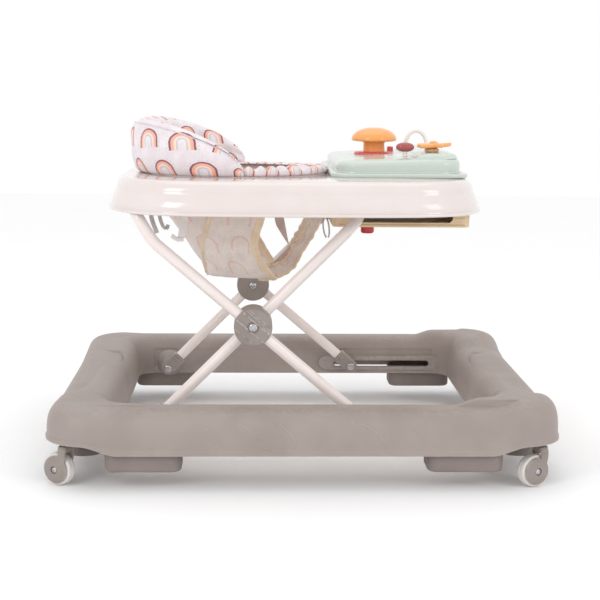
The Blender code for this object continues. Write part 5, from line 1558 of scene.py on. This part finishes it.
def buildStraps():
    # buckle straps, hooks, tails and loops: bands and flat wires along smooth curves, mirrored in Y
    straps = {"grey": [], "white": [], "mauve": []}
    for _, side in sides:
        straps["grey"].append(ribbonStrap([(-0.2140, side * 0.150, 0.372), (-0.2120, side * 0.151, 0.350),
                                           (-0.2048, side * 0.150, 0.3292)], 0.0062, (1, 0, 0.2)))
        hook = smoothPath([(-0.2030, side * 0.118, 0.370), (-0.2035, side * 0.119, 0.352),
                           (-0.1985, side * 0.120, 0.336), (-0.1930, side * 0.120, 0.333),
                           (-0.1912, side * 0.120, 0.338)], 30)
        straps["grey"].append(sweepShape(hook, circleSection(1.0, 12) * (0.0026, 0.0011), (1, 0, 0)))
        straps["white"].append(ribbonStrap([(-0.1660, side * 0.142, 0.372), (-0.1672, side * 0.143, 0.350),
                                            (-0.1712, side * 0.143, 0.322)], 0.0100, (1, 0, 0.1)))
        straps["white"].append(ribbonStrap([(-0.1850, side * 0.1435, 0.3250),
                                            (-0.1770, side * 0.1445, 0.3200),
                                            (-0.1680, side * 0.1440, 0.3200)], 0.0062, (0, 0, 1), 0.0020))
        tail = smoothPath([(-0.033, side * 0.100, 0.372), (-0.0325, side * 0.101, 0.345),
                           (-0.0262, side * 0.102, 0.326), (-0.0195, side * 0.101, 0.3095)], 30)
        narrow = np.interp(np.linspace(0, 1, 30), [0, 0.45, 1], [1.0, 0.85, 0.10])
        straps["mauve"].append(sweepShape(tail, bandSection(0.0150, 0.0012), (1, 0, 0), swell=narrow))
        loop = np.linspace(-0.4 * math.pi, 1.4 * math.pi, 50)
        ring = np.stack([0.0350 + 0.0042 * np.cos(loop) - 0.0045 * np.sin(loop) * 0.4,
                         side * 0.100 + 0 * loop, 0.3330 + 0.0150 * np.sin(loop)], axis=-1)
        ring = np.concatenate([[(0.0330, side * 0.100, 0.372)], ring[::-1]])[1:]
        straps["grey"].append(sweepShape(ring, circleSection(1.0, 10) * (0.0022, 0.0012), (0, 1, 0)))
        straps["grey"].append(ribbonStrap([(0.0385, side * 0.100, 0.372), (0.0382, side * 0.100, 0.358),
                                           (0.0375, side * 0.100, 0.345)], 0.0060, (1, 0, 0)))
        straps["mauve"].append(ribbonStrap([(-0.0480, side * 0.010, 0.2530), (-0.0280, side * 0.016, 0.2735),
                                            (0.0076, side * 0.030, 0.3088), (0.0330, side * 0.044, 0.3500)],
                                           0.0064, (-0.7, 0, 0.7), 0.0014, 40))
    for key, look in (("grey", "webbing"), ("white", "whiteWebbing"), ("mauve", "mauveWebbing")):
        makePiece(f"{key}_straps", joinShapes(*straps[key]), looks[look], "tray")


pad, seamRoute = buildBackrest()
buildBackSeam(seamRoute)
buildRim()
buildSling()
print("seat built")


studio = {"floorSize": 9.0, "world": 1.0, "keyPower": 7.0, "fillPower": 4.0, "topPower": 4.0}
view = {"place": (-0.0720, -2.0601, 0.5407), "down": 0.1586, "toFront": 0.0358, "roll": 0.0093, "lens": 82.0}


def buildStage():
    # white floor and white world
    size = studio["floorSize"] / 2
    mesh = bpy.data.meshes.new("studio_floor")
    mesh.from_pydata([(-size, -size, 0), (size, -size, 0), (size, size, 0), (-size, size, 0)], [],
                     [(0, 1, 2, 3)])
    look, bench, shader = startLook("studioFloor")
    shade = bench.noise(bench.add("ShaderNodeTexCoord").outputs["Object"], 6.0, 2.0)
    bench.feed(shader.inputs["Base Color"], bench.mix(shade, tint("#fdfdfd"), tint("#fafafb")))
    shader.inputs["Roughness"].default_value = 0.9
    mesh.materials.append(look)
    floor = bpy.data.objects.new("studio_floor", mesh)
    bpy.context.scene.collection.objects.link(floor)
    world = bpy.data.worlds.new("studio") if bpy.context.scene.world is None else bpy.context.scene.world
    bpy.context.scene.world = world
    world.use_nodes = True
    background = world.node_tree.nodes["Background"]
    background.inputs["Color"].default_value = (1.0, 1.0, 1.0, 1.0)
    background.inputs["Strength"].default_value = studio["world"]
    bpy.context.scene.view_settings.view_transform = "Standard"


def addLamp(name, place, aim, size, power):
    # a rectangular area light that looks at its aim
    lamp = bpy.data.lights.new(name, "AREA")
    lamp.shape = "RECTANGLE"
    lamp.size, lamp.size_y = size
    lamp.energy = power
    holder = bpy.data.objects.new(name, lamp)
    holder.location = place
    holder.rotation_euler = (Vector(aim) - Vector(place)).to_track_quat("-Z", "Y").to_euler()
    bpy.context.scene.collection.objects.link(holder)


def addCamera():
    # ahead = (sin yaw cos down, cos yaw cos down, -sin down), rolled about itself
    down, yaw, roll = view["down"], view["toFront"], view["roll"]
    ahead = np.array([math.sin(yaw) * math.cos(down), math.cos(yaw) * math.cos(down), -math.sin(down)])
    level = np.array([math.cos(yaw), -math.sin(yaw), 0.0])
    upright = np.cross(level, ahead)
    right = math.cos(roll) * level + math.sin(roll) * upright
    up = -math.sin(roll) * level + math.cos(roll) * upright
    camera = bpy.data.cameras.new("studio_camera")
    camera.sensor_width = 36.0
    camera.lens = view["lens"]
    holder = bpy.data.objects.new("studio_camera", camera)
    turn = Matrix([[right[k], up[k], -ahead[k]] for k in range(3)]).to_4x4()
    holder.matrix_world = Matrix.Translation(view["place"]) @ turn
    bpy.context.scene.collection.objects.link(holder)
    bpy.context.scene.camera = holder


buildStage()
addLamp("key_left", (-1.3, -1.7, 1.25), (-0.05, 0, 0.25), (0.55, 0.9), studio["keyPower"])
addLamp("fill_right", (1.5, -1.5, 1.1), (0.05, 0, 0.25), (0.55, 0.9), studio["fillPower"])
addLamp("top", (0.0, 0.3, 2.0), (0, 0, 0.2), (1.6, 1.2), studio["topPower"])
addCamera()
print("stage built")
